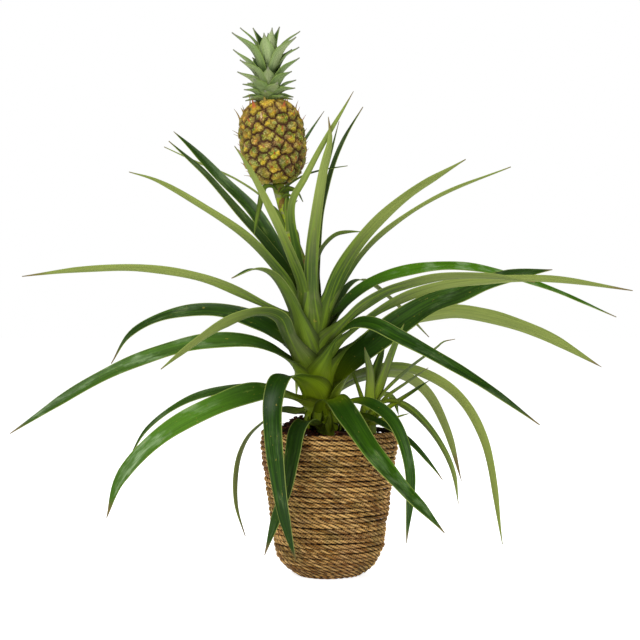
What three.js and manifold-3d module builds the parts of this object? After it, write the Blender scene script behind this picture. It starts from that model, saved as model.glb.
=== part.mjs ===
// A fruiting pineapple plant in a coiled seagrass basket.
// Units are millimetres. The origin is the centre of the basket's flat base, +Z is up,
// the front of the plant looks along -Y and the plant's right is +X.
import * as THREE from 'three';
import { ConvexGeometry } from 'three/addons/geometries/ConvexGeometry.js';
import { mergeVertices } from 'three/addons/utils/BufferGeometryUtils.js';
import Module from 'manifold-3d';

const wasm = await Module();
wasm.setup();

// Driving dimensions of the basket, the grow pot and the soil.
const BASKET_HEIGHT = 158;
const BASKET_LOW_RADIUS = 54.8;
const BASKET_FLARE = 0.14;
const BASKET_SHOULDER_HEIGHT = 135;
const BASKET_RIM_TUCK = 4;
const BASKET_FOOT_HEIGHT = 34;
const BASKET_FOOT_TUCK = 17;
const BASKET_FOOT_CURVE = 1.8;
const BASKET_WALL = 4.2;
const ROPE_ROWS = 30;
const ROPE_RELIEF = 0.9;
const BASKET_SIDES = 22;
const POT_GAP = 0.3;
const POT_CLEARANCE = 2.2;
const POT_WALL = 1.4;
const POT_RIM_DROP = 7;
const POT_SIDES = 32;
const DRAIN_HOLES = 4;
const DRAIN_RADIUS = 4;
const DRAIN_RING = 27;
const DRAIN_SIDES = 8;
const SOIL_LEVEL = 149;
const SOIL_GAP = 0.5;
const SOIL_SIDES = 24;
const SOIL_RING_SHARES = [1, 0.92, 0.78, 0.6, 0.42, 0.24, 0.08];
const SOIL_ROUGHNESS = 0.9;
const SOIL_EDGE_CURVE = 3;
const SOIL_HEAP = 22;
const SOIL_HEAP_X = -33;
const SOIL_HEAP_Y = 17;
const SOIL_HEAP_SPREAD = 800;
// The unevenness of its top, as rows of [turn per mm in x, in y, phase, share].
const SOIL_WAVES = [
  [0.31, 0.27, 0.9, 0.5],
  [0.31, -0.27, 1.7, 0.5],
  [0.2, 0.53, 0, 0.6],
];

// Clearance between neighbours that touch on the real plant.
const SEAT_GAP = 0.35;

// The main stem leans to the plant's left. Each row is [x, y, z, radius].
const STEM_RINGS = [
  [2, 0, 96, 9],
  [0, 0, 122, 15],
  [-3, 0, 150, 19],
  [-8, 0, 180, 20.5],
  [-12, 0, 215, 20],
  [-16, 0, 250, 18],
  [-20, 0, 285, 14.5],
  [-24, 0, 318, 10.5],
  [-26.5, 0, 334, 8],
];
const STEM_SIDES = 14;
const ROSETTE_X = -14;

// The fruit stalk goes on from the stem's top. Each row is [x, y, z, radius].
const STALK_RINGS = [
  [-26.7, 0, 334.4, 7.4],
  [-32, 0, 350, 6.8],
  [-42, 0, 376, 6.2],
  [-49, 0, 402, 6],
  [-54.4, 0, 424, 6.6],
  [-55.2, 0, 430, 8.2],
];
const STALK_SIDES = 10;

// The fruit: a barrel on a slightly tilted axis.
const FRUIT_BASE = new THREE.Vector3(-55.4, 0, 430.6);
const FRUIT_TOP = new THREE.Vector3(-66, 0, 517);
const FRUIT_CORE_RADIUS = 33.6;
const FRUIT_FULLNESS = 2.6;
const FRUIT_END_SPARE = 3;
const FRUIT_SIDES = 26;
const FRUIT_SLICES = 400;
const FRUIT_SEED = 7;
const FRUITLETS = 104;
const FRUITLET_RISE = 2.9;
const FRUITLET_SHOULDER = 0.66;
const FRUITLET_SHOULDER_RISE = 0.72;
const BRACT_REACH = 2.6;
const BRACT_REACH_SPREAD = 0.4;
const BRACT_LIFT = 3;
const BRACT_LIFT_SPREAD = 0.2;
const BRACT_SWAY = 2;

// The crown of short leaves on the fruit. share runs from 0, its lowest leaf, to 1, its innermost.
const CROWN_LEAVES = 38;
const CROWN_SEED = 21;
const CROWN_HEIGHT = 87;
const CROWN_TURN_WOBBLE = 0.3;
const CROWN_FOOT_LOW = 2;
const CROWN_FOOT_RISE = 27;
const CROWN_ROOT_RADIUS = 3;
// Reach of a leaf's tip from the crown's axis, as rows of [share, mm].
const CROWN_REACH = [[0, 28], [0.75, 37.7], [1, 6.7]];
const CROWN_REACH_SPREAD = 0.1;
const CROWN_TIP_LOW = 5;
const CROWN_TIP_CURVE = 0.85;
const CROWN_TIP_SHORT = 0.07;
const CROWN_BEND_OUT = 0.62;
const CROWN_BEND_UP = 0.36;
const CROWN_BEND_LEAST = 4;
const CROWN_LEAF_WIDTH = 9;
const CROWN_LEAF_WIDER = 9;
const CROWN_LEAF_THICKNESS = 1.4;
const CROWN_LEAF_CHANNEL = 0.3;
const CROWN_LEAF_SHOULDER = 1.5;
const CROWN_LEAF_POINT = 0.8;
const CROWN_TIP_HALF_WIDTH = 0.45;
const CROWN_STATIONS = 3;
const CROWN_CORE_SIDES = 10;
// Rows of [height, radius] of the core that the leaves spring from.
const CROWN_CORE = [[0, 12.5], [20.4, 10], [34, 3.75]];
// Rows of [height over the fruit's top, radius] of the room that the topmost fruitlets leave for it.
const CROWN_SEAT = [[0, 13.5], [1.2, 17.5], [5, 34], [60, 60]];

// The long leaves. t runs from 0 at a leaf's root to 1 at its tip.
const LEAF_STATIONS = 11;
const SMALL_LEAF_STATIONS = 6;
const LEAF_THICKNESS = 1;
const LEAF_SHOULDER = 1.17;
const LEAF_POINT = 0.45;
const LEAF_TIP_HALF_WIDTH = 0.5;
const LEAF_FOOT_REACH = 0.1;
const LEAF_CHANNEL = 0.2;
const FOOT_CHANNEL = 0.22;
const FOOT_CHANNEL_REACH = 0.15;
const ROLL_END = 0.35;

const CORNER_TURN = 0.37;
const GOLDEN_ANGLE = Math.PI * (3 - Math.sqrt(5));

// Colours, read by eye.
const SEAGRASS = { color: 0x9c7136, roughness: 0.85, metalness: 0 };
const BLACK_PLASTIC = { color: 0x1d1c1b, roughness: 0.55, metalness: 0 };
const POTTING_MIX = { color: 0x2b1e15, roughness: 0.95, metalness: 0 };
const STEM_GREEN = { color: 0x7e8b3a, roughness: 0.6, metalness: 0 };
const LEAF_GREEN = { color: 0x4f7524, roughness: 0.45, metalness: 0 };
const STALK_GREEN = { color: 0x8f9a4c, roughness: 0.6, metalness: 0 };
const FRUIT_GOLD = { color: 0xb08a2e, roughness: 0.6, metalness: 0 };
const CROWN_GREEN = { color: 0x6d8560, roughness: 0.6, metalness: 0 };

// A small seeded generator, so that every build draws the same numbers.
function seededDraws(seed) {
  let state = seed;
  return () => {
    state = (state * 1664525 + 1013904223) % 4294967296;
    return state / 4294967296;
  };
}

// A factor drawn evenly from 1 - share to 1 + share.
function spread(draw, share) {
  return 1 + share * (2 * draw() - 1);
}

// The value of rows of [place, value] at a place, straight from row to row.
function between(rows, at) {
  const next = Math.max(1, rows.findIndex((row) => row[0] >= at));
  const [from, low] = rows[next - 1];
  const [to, high] = rows[next];
  return THREE.MathUtils.mapLinear(at, from, to, low, high);
}

// Closed geometry to a solid, and back.
function solidOf(geometry) {
  const bare = geometry.clone();
  bare.deleteAttribute('normal');
  bare.deleteAttribute('uv');
  const merged = mergeVertices(bare, 1e-4);
  return new wasm.Manifold(new wasm.Mesh({
    numProp: 3,
    vertProperties: new Float32Array(merged.attributes.position.array),
    triVerts: new Uint32Array(merged.index.array),
  }));
}

function geometryOf(solid) {
  const mesh = solid.getMesh();
  const positions = new Float32Array((mesh.vertProperties.length / mesh.numProp) * 3);
  for (let i = 0; i < positions.length / 3; i += 1) {
    positions[3 * i] = mesh.vertProperties[mesh.numProp * i];
    positions[3 * i + 1] = mesh.vertProperties[mesh.numProp * i + 1];
    positions[3 * i + 2] = mesh.vertProperties[mesh.numProp * i + 2];
  }
  const geometry = new THREE.BufferGeometry();
  geometry.setAttribute('position', new THREE.BufferAttribute(positions, 3));
  geometry.setIndex(Array.from(mesh.triVerts));
  geometry.computeVertexNormals();
  return geometry;
}

function largestBody(solid) {
  const bodies = solid.decompose();
  return bodies.reduce((best, body) => (body.volume() > best.volume() ? body : best));
}

function joinAll(solids) {
  return solids.reduce((whole, piece) => whole.add(piece));
}

// A closed skin over rings of points: the rings are joined in order and both ends are capped.
// Every ring goes round the same way. turned says that the faces would otherwise point inwards.
function skinOf(rings) {
  const sides = rings[0].length;
  const positions = rings.flat().flatMap((p) => [p.x, p.y, p.z]);
  const index = [];
  for (let r = 0; r + 1 < rings.length; r += 1) {
    for (let s = 0; s < sides; s += 1) {
      const a = r * sides + s;
      const b = r * sides + ((s + 1) % sides);
      index.push(a, b, b + sides, a, b + sides, a + sides);
    }
  }
  const last = (rings.length - 1) * sides;
  for (let s = 1; s + 1 < sides; s += 1) {
    index.push(0, s + 1, s);
    index.push(last, last + s, last + s + 1);
  }
  const geometry = new THREE.BufferGeometry();
  geometry.setAttribute('position', new THREE.Float32BufferAttribute(positions, 3));
  geometry.setIndex(index);
  return geometry;
}

// A round tube over rows of [x, y, z, radius] whose sections stay level. Its corners are turned
// a little off the axes, so that none lies on the middle line of a leaf.
function levelTube(rows, sides, extra = 0) {
  const rings = rows.map(([x, y, z, radius]) => {
    const ring = [];
    for (let s = 0; s < sides; s += 1) {
      const turn = (2 * Math.PI * (s + CORNER_TURN)) / sides;
      ring.push(new THREE.Vector3(
        x + (radius + extra) * Math.cos(turn),
        y + (radius + extra) * Math.sin(turn),
        z,
      ));
    }
    return ring;
  });
  if (extra > 0) {
    rings[0].forEach((p) => { p.z -= extra; });
    rings[rings.length - 1].forEach((p) => { p.z += extra; });
  }
  return skinOf(rings);
}

function lathe(profile, sides) {
  const geometry = new THREE.LatheGeometry(profile.map(([r, z]) => new THREE.Vector2(r, z)), sides);
  geometry.rotateX(Math.PI / 2);
  return geometry;
}

// The basket's wall radius at a height: a straight flare that tucks in at the base and the rim.
function basketRadius(z) {
  const foot = Math.max(0, 1 - z / BASKET_FOOT_HEIGHT) ** BASKET_FOOT_CURVE;
  const rim = Math.max(0, z - BASKET_SHOULDER_HEIGHT) / (BASKET_HEIGHT - BASKET_SHOULDER_HEIGHT);
  return BASKET_LOW_RADIUS + BASKET_FLARE * z - BASKET_FOOT_TUCK * foot - BASKET_RIM_TUCK * rim * rim;
}

function makeBasket() {
  const pitch = BASKET_HEIGHT / ROPE_ROWS;
  const profile = [[0, 0]];
  for (let row = 0; row < ROPE_ROWS; row += 1) {
    const low = row * pitch;
    profile.push([basketRadius(low) - (row === 0 ? 0 : ROPE_RELIEF), low]);
    profile.push([basketRadius(low + pitch / 2) + ROPE_RELIEF / 2, low + pitch / 2]);
  }
  profile.push([basketRadius(BASKET_HEIGHT) - ROPE_RELIEF, BASKET_HEIGHT]);
  profile.push([basketRadius(BASKET_HEIGHT) - BASKET_WALL, BASKET_HEIGHT - ROPE_RELIEF]);
  profile.push([basketRadius(BASKET_SHOULDER_HEIGHT) - BASKET_WALL, BASKET_SHOULDER_HEIGHT]);
  for (const z of [BASKET_FOOT_HEIGHT, BASKET_FOOT_HEIGHT / 2, BASKET_WALL]) {
    profile.push([basketRadius(z) - BASKET_WALL, z]);
  }
  profile.push([0, BASKET_WALL]);
  return lathe(profile, BASKET_SIDES);
}

// The grow pot stands on the basket's floor, inside its wall.
const POT_FLOOR = BASKET_WALL + POT_GAP;
const POT_RIM = BASKET_HEIGHT - POT_RIM_DROP;
const POT_RIM_RADIUS = basketRadius(POT_RIM) - BASKET_WALL - POT_CLEARANCE;
const POT_FLOOR_RADIUS = basketRadius(BASKET_WALL) - BASKET_WALL - POT_CLEARANCE;
const POT_FOOT_RADIUS = basketRadius(BASKET_FOOT_HEIGHT) - BASKET_WALL - POT_CLEARANCE;

function potRadius(z) {
  const [z0, r0, z1, r1] = z < BASKET_FOOT_HEIGHT
    ? [POT_FLOOR, POT_FLOOR_RADIUS, BASKET_FOOT_HEIGHT, POT_FOOT_RADIUS]
    : [BASKET_FOOT_HEIGHT, POT_FOOT_RADIUS, POT_RIM, POT_RIM_RADIUS];
  return r0 + ((z - z0) / (z1 - z0)) * (r1 - r0);
}

const SOIL_RADIUS = potRadius(SOIL_LEVEL) - POT_WALL - SOIL_GAP;

function makeGrowPot() {
  const inside = POT_FLOOR + POT_WALL;
  const body = solidOf(lathe([
    [0, POT_FLOOR],
    [POT_FLOOR_RADIUS, POT_FLOOR],
    [POT_FOOT_RADIUS, BASKET_FOOT_HEIGHT],
    [POT_RIM_RADIUS, POT_RIM],
    [POT_RIM_RADIUS - POT_WALL, POT_RIM],
    [POT_FOOT_RADIUS - POT_WALL, BASKET_FOOT_HEIGHT],
    [potRadius(inside) - POT_WALL, inside],
    [0, inside],
  ], POT_SIDES));
  let pot = body;
  for (let hole = 0; hole < DRAIN_HOLES; hole += 1) {
    const turn = ((hole + 0.5) * 2 * Math.PI) / DRAIN_HOLES;
    const x = DRAIN_RING * Math.cos(turn);
    const y = DRAIN_RING * Math.sin(turn);
    pot = pot.subtract(solidOf(levelTube([
      [x, y, POT_FLOOR - 1, DRAIN_RADIUS],
      [x, y, inside + 1, DRAIN_RADIUS],
    ], DRAIN_SIDES)));
  }
  return pot;
}

// The soil fills the grow pot. It is low along the front and heaped at the back left.
function soilTop(x, y) {
  const edge = ((x * x + y * y) / (SOIL_RADIUS * SOIL_RADIUS)) ** SOIL_EDGE_CURVE;
  const heap = SOIL_HEAP * Math.exp(-((x - SOIL_HEAP_X) ** 2 + (y - SOIL_HEAP_Y) ** 2) / SOIL_HEAP_SPREAD);
  const rough = SOIL_WAVES.reduce((sum, [a, b, phase, share]) => (
    sum + share * Math.sin(a * x + b * y + phase)
  ), 0);
  return SOIL_LEVEL + (heap + SOIL_ROUGHNESS * rough) * (1 - edge);
}

function makeSoil(holes) {
  const bottom = POT_FLOOR + POT_WALL + POT_GAP;
  const levelRing = (radius, height) => {
    const ring = [];
    for (let s = 0; s < SOIL_SIDES; s += 1) {
      const turn = (2 * Math.PI * s) / SOIL_SIDES;
      const x = radius * Math.cos(turn);
      const y = radius * Math.sin(turn);
      ring.push(new THREE.Vector3(x, y, height(x, y)));
    }
    return ring;
  };
  const rings = [bottom, BASKET_FOOT_HEIGHT].map((z) => (
    levelRing(potRadius(z) - POT_WALL - SOIL_GAP, () => z)
  ));
  for (const share of SOIL_RING_SHARES) {
    rings.push(levelRing(share * SOIL_RADIUS, soilTop));
  }
  return holes.reduce((soil, hole) => soil.subtract(hole), solidOf(skinOf(rings)));
}

// A leaf's share of its full width at t.
function leafTaper(t) {
  return Math.min(1, LEAF_SHOULDER * (1 - t) ** LEAF_POINT);
}

// A channelled blade along a curve. side(t) is the direction across the blade.
// extra thickens and widens it, for the clearance cut out of its neighbours.
function bladeGeometry(leaf, extra = 0) {
  const curve = new THREE.CatmullRomCurve3(leaf.points, false, 'centripetal');
  const stations = leaf.stations ?? LEAF_STATIONS;
  const rings = [];
  for (let i = 0; i <= stations; i += 1) {
    const t = i / stations;
    const along = curve.getTangentAt(t);
    const roll = THREE.MathUtils.degToRad((leaf.roll ?? 0) * THREE.MathUtils.smoothstep(t, 0, ROLL_END));
    const side = leaf.side.clone().addScaledVector(along, -leaf.side.dot(along)).normalize();
    const up = new THREE.Vector3().crossVectors(along, side);
    side.applyAxisAngle(along, roll);
    up.applyAxisAngle(along, roll);
    const centre = curve.getPointAt(t);
    if (i === 0) centre.addScaledVector(along, -extra);
    if (i === stations) centre.addScaledVector(along, extra);
    const flare = (leaf.base - leaf.width) * Math.exp(-((t / LEAF_FOOT_REACH) ** 2));
    const half = Math.max(LEAF_TIP_HALF_WIDTH, (leaf.width * leafTaper(t) + flare) / 2);
    const depth = half * (LEAF_CHANNEL + FOOT_CHANNEL * Math.exp(-((t / FOOT_CHANNEL_REACH) ** 2)));
    const edge = half + extra;
    const under = -(LEAF_THICKNESS + extra);
    const at = (across, lift) => centre.clone().addScaledVector(side, across).addScaledVector(up, lift);
    rings.push([
      at(-edge, depth + under),
      at(0, under),
      at(edge, depth + under),
      at(edge, depth + extra),
      at(0, extra),
      at(-edge, depth + extra),
    ]);
  }
  return skinOf(rings);
}

// The large leaves. Each springs from the stem's axis at its root height. Most rise and arch in one
// upright plane: azimuth is that plane's compass direction (0 along +X, 90 along +Y, so 270 is the
// front), and arch lists [out, up] from the rosette's centre line. A leaf that winds past its
// neighbours lists its points as through: [x, y, z]. width is the blade's, base its clasping foot's.
const LEAVES = [
  { name: 'leaf_back_rising_thin', azimuth: 70, root: 296, width: 5, base: 10,
    through: [[-18, 16, 330], [-15, 34, 385], [-7, 54, 430], [2, 70, 465], [14, 82, 508]] },
  { name: 'leaf_upper_left_thin', azimuth: 146, root: 294, width: 5, base: 11, roll: 30,
    arch: [[23, 346], [41, 386], [62, 413], [106, 440], [168, 465], [216, 484]] },
  { name: 'leaf_back_thin_right', azimuth: 20, root: 290, width: 5, base: 10,
    through: [[-10, 7, 328], [-5, 12, 356], [5, 20, 373], [20, 30, 381], [38, 42, 383]] },
  { name: 'leaf_behind_fruit', azimuth: 110, root: 288, width: 6, base: 12,
    through: [[-27, 15, 322], [-41, 26, 369], [-46, 36, 426], [-39, 45, 459], [-25, 51, 485],
      [-4, 57, 517]] },
  { name: 'leaf_upper_left_back', azimuth: 172, root: 284, width: 13, base: 15, roll: -40,
    arch: [[24, 318], [52, 362], [85, 400], [125, 443], [146, 462], [165, 479]] },
  { name: 'leaf_front_rising_narrow', azimuth: 262, root: 282, width: 7.5, base: 13,
    through: [[-27, -17, 322], [-32, -21, 354], [-39, -25, 392], [-39, -27, 410], [-32, -31, 430],
      [-15, -36, 459], [1, -41, 487], [16, -45, 509], [27, -48, 525]] },
  { name: 'leaf_back_rising_dark', azimuth: 50, root: 278, width: 7, base: 13,
    through: [[-13, 15, 322], [-13, 23, 362], [-11, 31, 398], [-4, 37, 430], [3, 42, 452], [10, 47, 468],
      [21, 54, 490], [40, 64, 522]] },
  { name: 'leaf_upper_left_dark', azimuth: 148, root: 272, width: 17, base: 22, roll: -45,
    arch: [[26, 316], [50, 366], [76, 402], [121, 440], [172, 480], [196, 500]] },
  { name: 'leaf_upper_left_bright', azimuth: 243, root: 266, width: 13, base: 22,
    arch: [[27, 312], [52, 347], [88, 382], [121, 412], [155, 439], [175, 452]] },
  { name: 'leaf_front_upright_pale', azimuth: 280, root: 260, width: 15.5, base: 25,
    through: [[-16, -24, 292], [-16, -30, 340], [-14, -35, 390], [-8, -40, 440], [-1, -44, 474],
      [-4, -47, 496]] },
  { name: 'leaf_right_steep', azimuth: 318, root: 258, width: 16, base: 24, roll: -20,
    arch: [[24, 307], [47, 345], [81, 380], [129, 408], [203, 439]] },
  { name: 'leaf_right_steep_narrow', azimuth: 345, root: 262, width: 12.5, base: 20, roll: -32,
    arch: [[31, 318], [61, 361], [100, 392], [144, 415], [214, 440]] },
  { name: 'leaf_right_grey_thin', azimuth: 48, root: 258, width: 7.5, base: 13,
    arch: [[33, 288], [50, 313], [68, 326], [88, 325], [130, 305], [204, 259]] },
  { name: 'leaf_upper_left_pale', azimuth: 200, root: 262, width: 16, base: 22, roll: 40,
    arch: [[25, 312], [46, 342], [79, 371], [129, 401], [179, 428], [208, 435]] },
  { name: 'leaf_far_left', azimuth: 176, root: 246, width: 14, base: 22, roll: 42,
    arch: [[24, 275], [56, 298], [123, 325], [192, 337], [260, 335], [330, 327]] },
  { name: 'leaf_back_high', azimuth: 92, root: 246, width: 16, base: 28,
    arch: [[26, 290], [66, 318], [125, 322], [185, 300], [228, 262]] },
  { name: 'leaf_far_right_bright', azimuth: 25, root: 246, width: 14, base: 22, roll: 40,
    arch: [[28, 285], [62, 317], [122, 338], [196, 340], [291, 322], [402, 282]] },
  { name: 'leaf_left_short_pale', azimuth: 224, root: 240, width: 17, base: 32,
    arch: [[24, 282], [42, 312], [64, 327], [86, 330], [116, 322]] },
  { name: 'leaf_right_pale', azimuth: 350, root: 240, width: 12, base: 24, roll: -35,
    arch: [[30, 280], [67, 310], [138, 328], [197, 330], [239, 323]] },
  { name: 'leaf_far_right', azimuth: 2, root: 226, width: 13, base: 24, roll: -35,
    arch: [[27, 262], [52, 289], [102, 311], [186, 324], [259, 325], [351, 308]] },
  { name: 'leaf_left_short_broad', azimuth: 217, root: 216, width: 21, base: 36, roll: 15,
    arch: [[36, 262], [48, 281], [72, 288], [119, 275], [169, 247], [195, 230]] },
  { name: 'leaf_left_arch_dark', azimuth: 163, root: 222, width: 18, base: 30, roll: -42,
    arch: [[28, 248], [58, 270], [112, 287], [176, 284], [218, 261], [240, 231]] },
  { name: 'leaf_back_middle', azimuth: 102, root: 214, width: 14, base: 30,
    arch: [[32, 246], [80, 266], [150, 252], [205, 215], [236, 170]] },
  { name: 'leaf_right_dark_arch', azimuth: 312, root: 212, width: 20, base: 36,
    arch: [[32, 258], [62, 278], [88, 278], [128, 263], [232, 220], [316, 179]] },
  { name: 'leaf_right_pale_wide', azimuth: 30, root: 210, width: 19, base: 30, roll: -50,
    arch: [[42, 248], [111, 277], [183, 291], [229, 287], [278, 274], [327, 255], [405, 221]] },
  { name: 'leaf_right_glossy_wide', azimuth: 14, root: 200, width: 27, base: 38, roll: 52,
    arch: [[42, 244], [83, 275], [161, 306], [219, 328], [283, 336]] },
  { name: 'leaf_left_long_dark', azimuth: 195, root: 198, width: 19, base: 34, roll: -45,
    arch: [[28, 226], [66, 246], [124, 253], [190, 240], [244, 213], [329, 157]] },
  { name: 'leaf_back_right_middle', azimuth: 82, root: 196, width: 13, base: 30,
    arch: [[36, 232], [85, 250], [150, 234], [200, 192], [226, 142]] },
  { name: 'leaf_front_hanging', azimuth: 248, root: 186, width: 21, base: 36,
    through: [[-25, -30, 212], [-38, -48, 222], [-54, -70, 220], [-60, -88, 196], [-58, -97, 165],
      [-53, -100, 124], [-47, -99, 83], [-40, -96, 52], [-34, -92, 30]] },
  { name: 'leaf_right_arch_outer', azimuth: 20, root: 184, width: 14, base: 30, roll: -35,
    arch: [[34, 208], [62, 219], [106, 223], [166, 194], [205, 143], [227, 21]] },
  { name: 'leaf_right_hanging', azimuth: 325, root: 172, width: 15, base: 30,
    arch: [[24, 182], [42, 190], [70, 191], [103, 172], [123, 123], [117, 45]] },
  { name: 'leaf_right_arch_inner', azimuth: 44, root: 178, width: 13, base: 28, roll: -35,
    arch: [[34, 197], [73, 211], [138, 214], [184, 193], [216, 147], [242, 82]] },
  { name: 'leaf_left_low_bright', azimuth: 207, root: 174, width: 21, base: 34, roll: -45,
    arch: [[27, 192], [63, 195], [109, 183], [179, 149], [225, 111], [241, 74]] },
  { name: 'leaf_left_low_dark', azimuth: 165, root: 174, width: 13, base: 26, roll: -40,
    arch: [[26, 192], [52, 199], [93, 201], [149, 191], [198, 155], [222, 121]] },
  { name: 'leaf_front_right_bright', azimuth: 298, root: 168, width: 23, base: 36,
    arch: [[28, 184], [44, 189], [78, 170], [121, 144], [168, 122], [198, 110], [262, 80]] },
  { name: 'leaf_front_hanging_low', azimuth: 238, root: 158, width: 18, base: 30,
    through: [[-22, -38, 168], [-31, -56, 172], [-38, -72, 162], [-41, -80, 138], [-47, -83, 102],
      [-55, -83, 70], [-65, -80, 36]] },
  { name: 'leaf_right_low_dark', azimuth: 336, root: 157, width: 11, base: 22, roll: 30,
    arch: [[30, 167], [54, 176], [83, 167], [111, 152], [139, 123], [149, 109]] },
  { name: 'leaf_back_left_grey', azimuth: 146, root: 168, width: 5, base: 13,
    through: [[-34, 22, 177], [-54, 42, 178], [-75, 60, 163], [-92, 71, 147], [-103, 78, 125],
      [-107, 80, 97], [-106, 78, 64], [-95, 72, 31]] },
];

// The stem's axis at a height.
function stemAxis(z) {
  const next = STEM_RINGS.findIndex((ring) => ring[2] >= z);
  const [x0, y0, z0] = STEM_RINGS[next - 1];
  const [x1, y1, z1] = STEM_RINGS[next];
  const share = (z - z0) / (z1 - z0);
  return new THREE.Vector3(x0 + share * (x1 - x0), y0 + share * (y1 - y0), z);
}

function leafPath(row) {
  const turn = THREE.MathUtils.degToRad(row.azimuth);
  const free = row.through
    ? row.through.map(([x, y, z]) => new THREE.Vector3(x, y, z))
    : row.arch.map(([out, up]) => new THREE.Vector3(
      ROSETTE_X + out * Math.cos(turn),
      out * Math.sin(turn),
      up,
    ));
  return {
    ...row,
    points: [stemAxis(row.root), ...free],
    side: new THREE.Vector3(-Math.sin(turn), Math.cos(turn), 0),
  };
}

// The leaves from the innermost outwards: each is cut clear of the stem, of the stalk and of
// every leaf inside it, so their feet nest as they do on the plant.
function makeLeaves(fatStem) {
  const placed = [];
  for (const row of LEAVES) {
    const leaf = leafPath(row);
    let blade = solidOf(bladeGeometry(leaf)).subtract(fatStem);
    for (const inner of placed) {
      blade = blade.subtract(inner.fat);
    }
    placed.push({
      name: row.name,
      solid: largestBody(blade),
      fat: solidOf(bladeGeometry(leaf, SEAT_GAP)),
    });
  }
  return placed;
}

// A frame on the fruit's axis.
const FRUIT_AXIS = FRUIT_TOP.clone().sub(FRUIT_BASE);
const FRUIT_LENGTH = FRUIT_AXIS.length();
FRUIT_AXIS.normalize();
const FRUIT_ACROSS = new THREE.Vector3(1, 0, 0).addScaledVector(FRUIT_AXIS, -FRUIT_AXIS.x).normalize();
const FRUIT_DEEP = new THREE.Vector3().crossVectors(FRUIT_AXIS, FRUIT_ACROSS);

function onFruit(radius, turn, along) {
  return FRUIT_BASE.clone()
    .addScaledVector(FRUIT_AXIS, along)
    .addScaledVector(FRUIT_ACROSS, radius * Math.cos(turn))
    .addScaledVector(FRUIT_DEEP, radius * Math.sin(turn));
}

// The core's radius along its axis: a barrel that closes softly at both ends.
function fruitRadius(along) {
  const middle = FRUIT_LENGTH / 2;
  const off = Math.abs(along - middle) / (middle + FRUIT_END_SPARE);
  return FRUIT_CORE_RADIUS * Math.sqrt(1 - off ** FRUIT_FULLNESS);
}

function axisTube(rows, sides) {
  return skinOf(rows.map(([along, radius]) => {
    const ring = [];
    for (let s = 0; s < sides; s += 1) {
      ring.push(onFruit(radius, (2 * Math.PI * s) / sides, along));
    }
    return ring;
  }));
}

// The fruitlets' places: a golden-angle spiral with the same skin area for each.
function fruitletPlaces() {
  const area = [0];
  for (let i = 0; i < FRUIT_SLICES; i += 1) {
    area.push(area[i] + fruitRadius((FRUIT_LENGTH * (i + 0.5)) / FRUIT_SLICES));
  }
  const places = [];
  for (let i = 0; i < FRUITLETS; i += 1) {
    const wanted = (area[FRUIT_SLICES] * (i + 0.5)) / FRUITLETS;
    const along = (FRUIT_LENGTH * area.findIndex((sum) => sum >= wanted)) / FRUIT_SLICES;
    const turn = i * GOLDEN_ANGLE;
    const outward = onFruit(1, turn, 0).sub(FRUIT_BASE);
    const slope = (fruitRadius(Math.min(along + 1, FRUIT_LENGTH)) - fruitRadius(Math.max(along - 1, 0))) / 2;
    const normal = outward.clone().addScaledVector(FRUIT_AXIS, -slope).normalize();
    const across = new THREE.Vector3().crossVectors(FRUIT_AXIS, outward).normalize();
    places.push({
      foot: onFruit(fruitRadius(along), turn, along),
      normal,
      across,
      upward: new THREE.Vector3().crossVectors(normal, across),
    });
  }
  return places;
}

// The two ends of the barrel, which hold the stalk and the crown instead of a fruitlet.
function barrelEnds() {
  return [[0, -1], [FRUIT_LENGTH, 1]].map(([along, sense]) => ({
    foot: onFruit(0, 0, along),
    normal: FRUIT_AXIS.clone().multiplyScalar(sense),
    across: FRUIT_ACROSS.clone(),
    upward: FRUIT_DEEP.clone().multiplyScalar(sense),
    flat: true,
  }));
}

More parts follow.
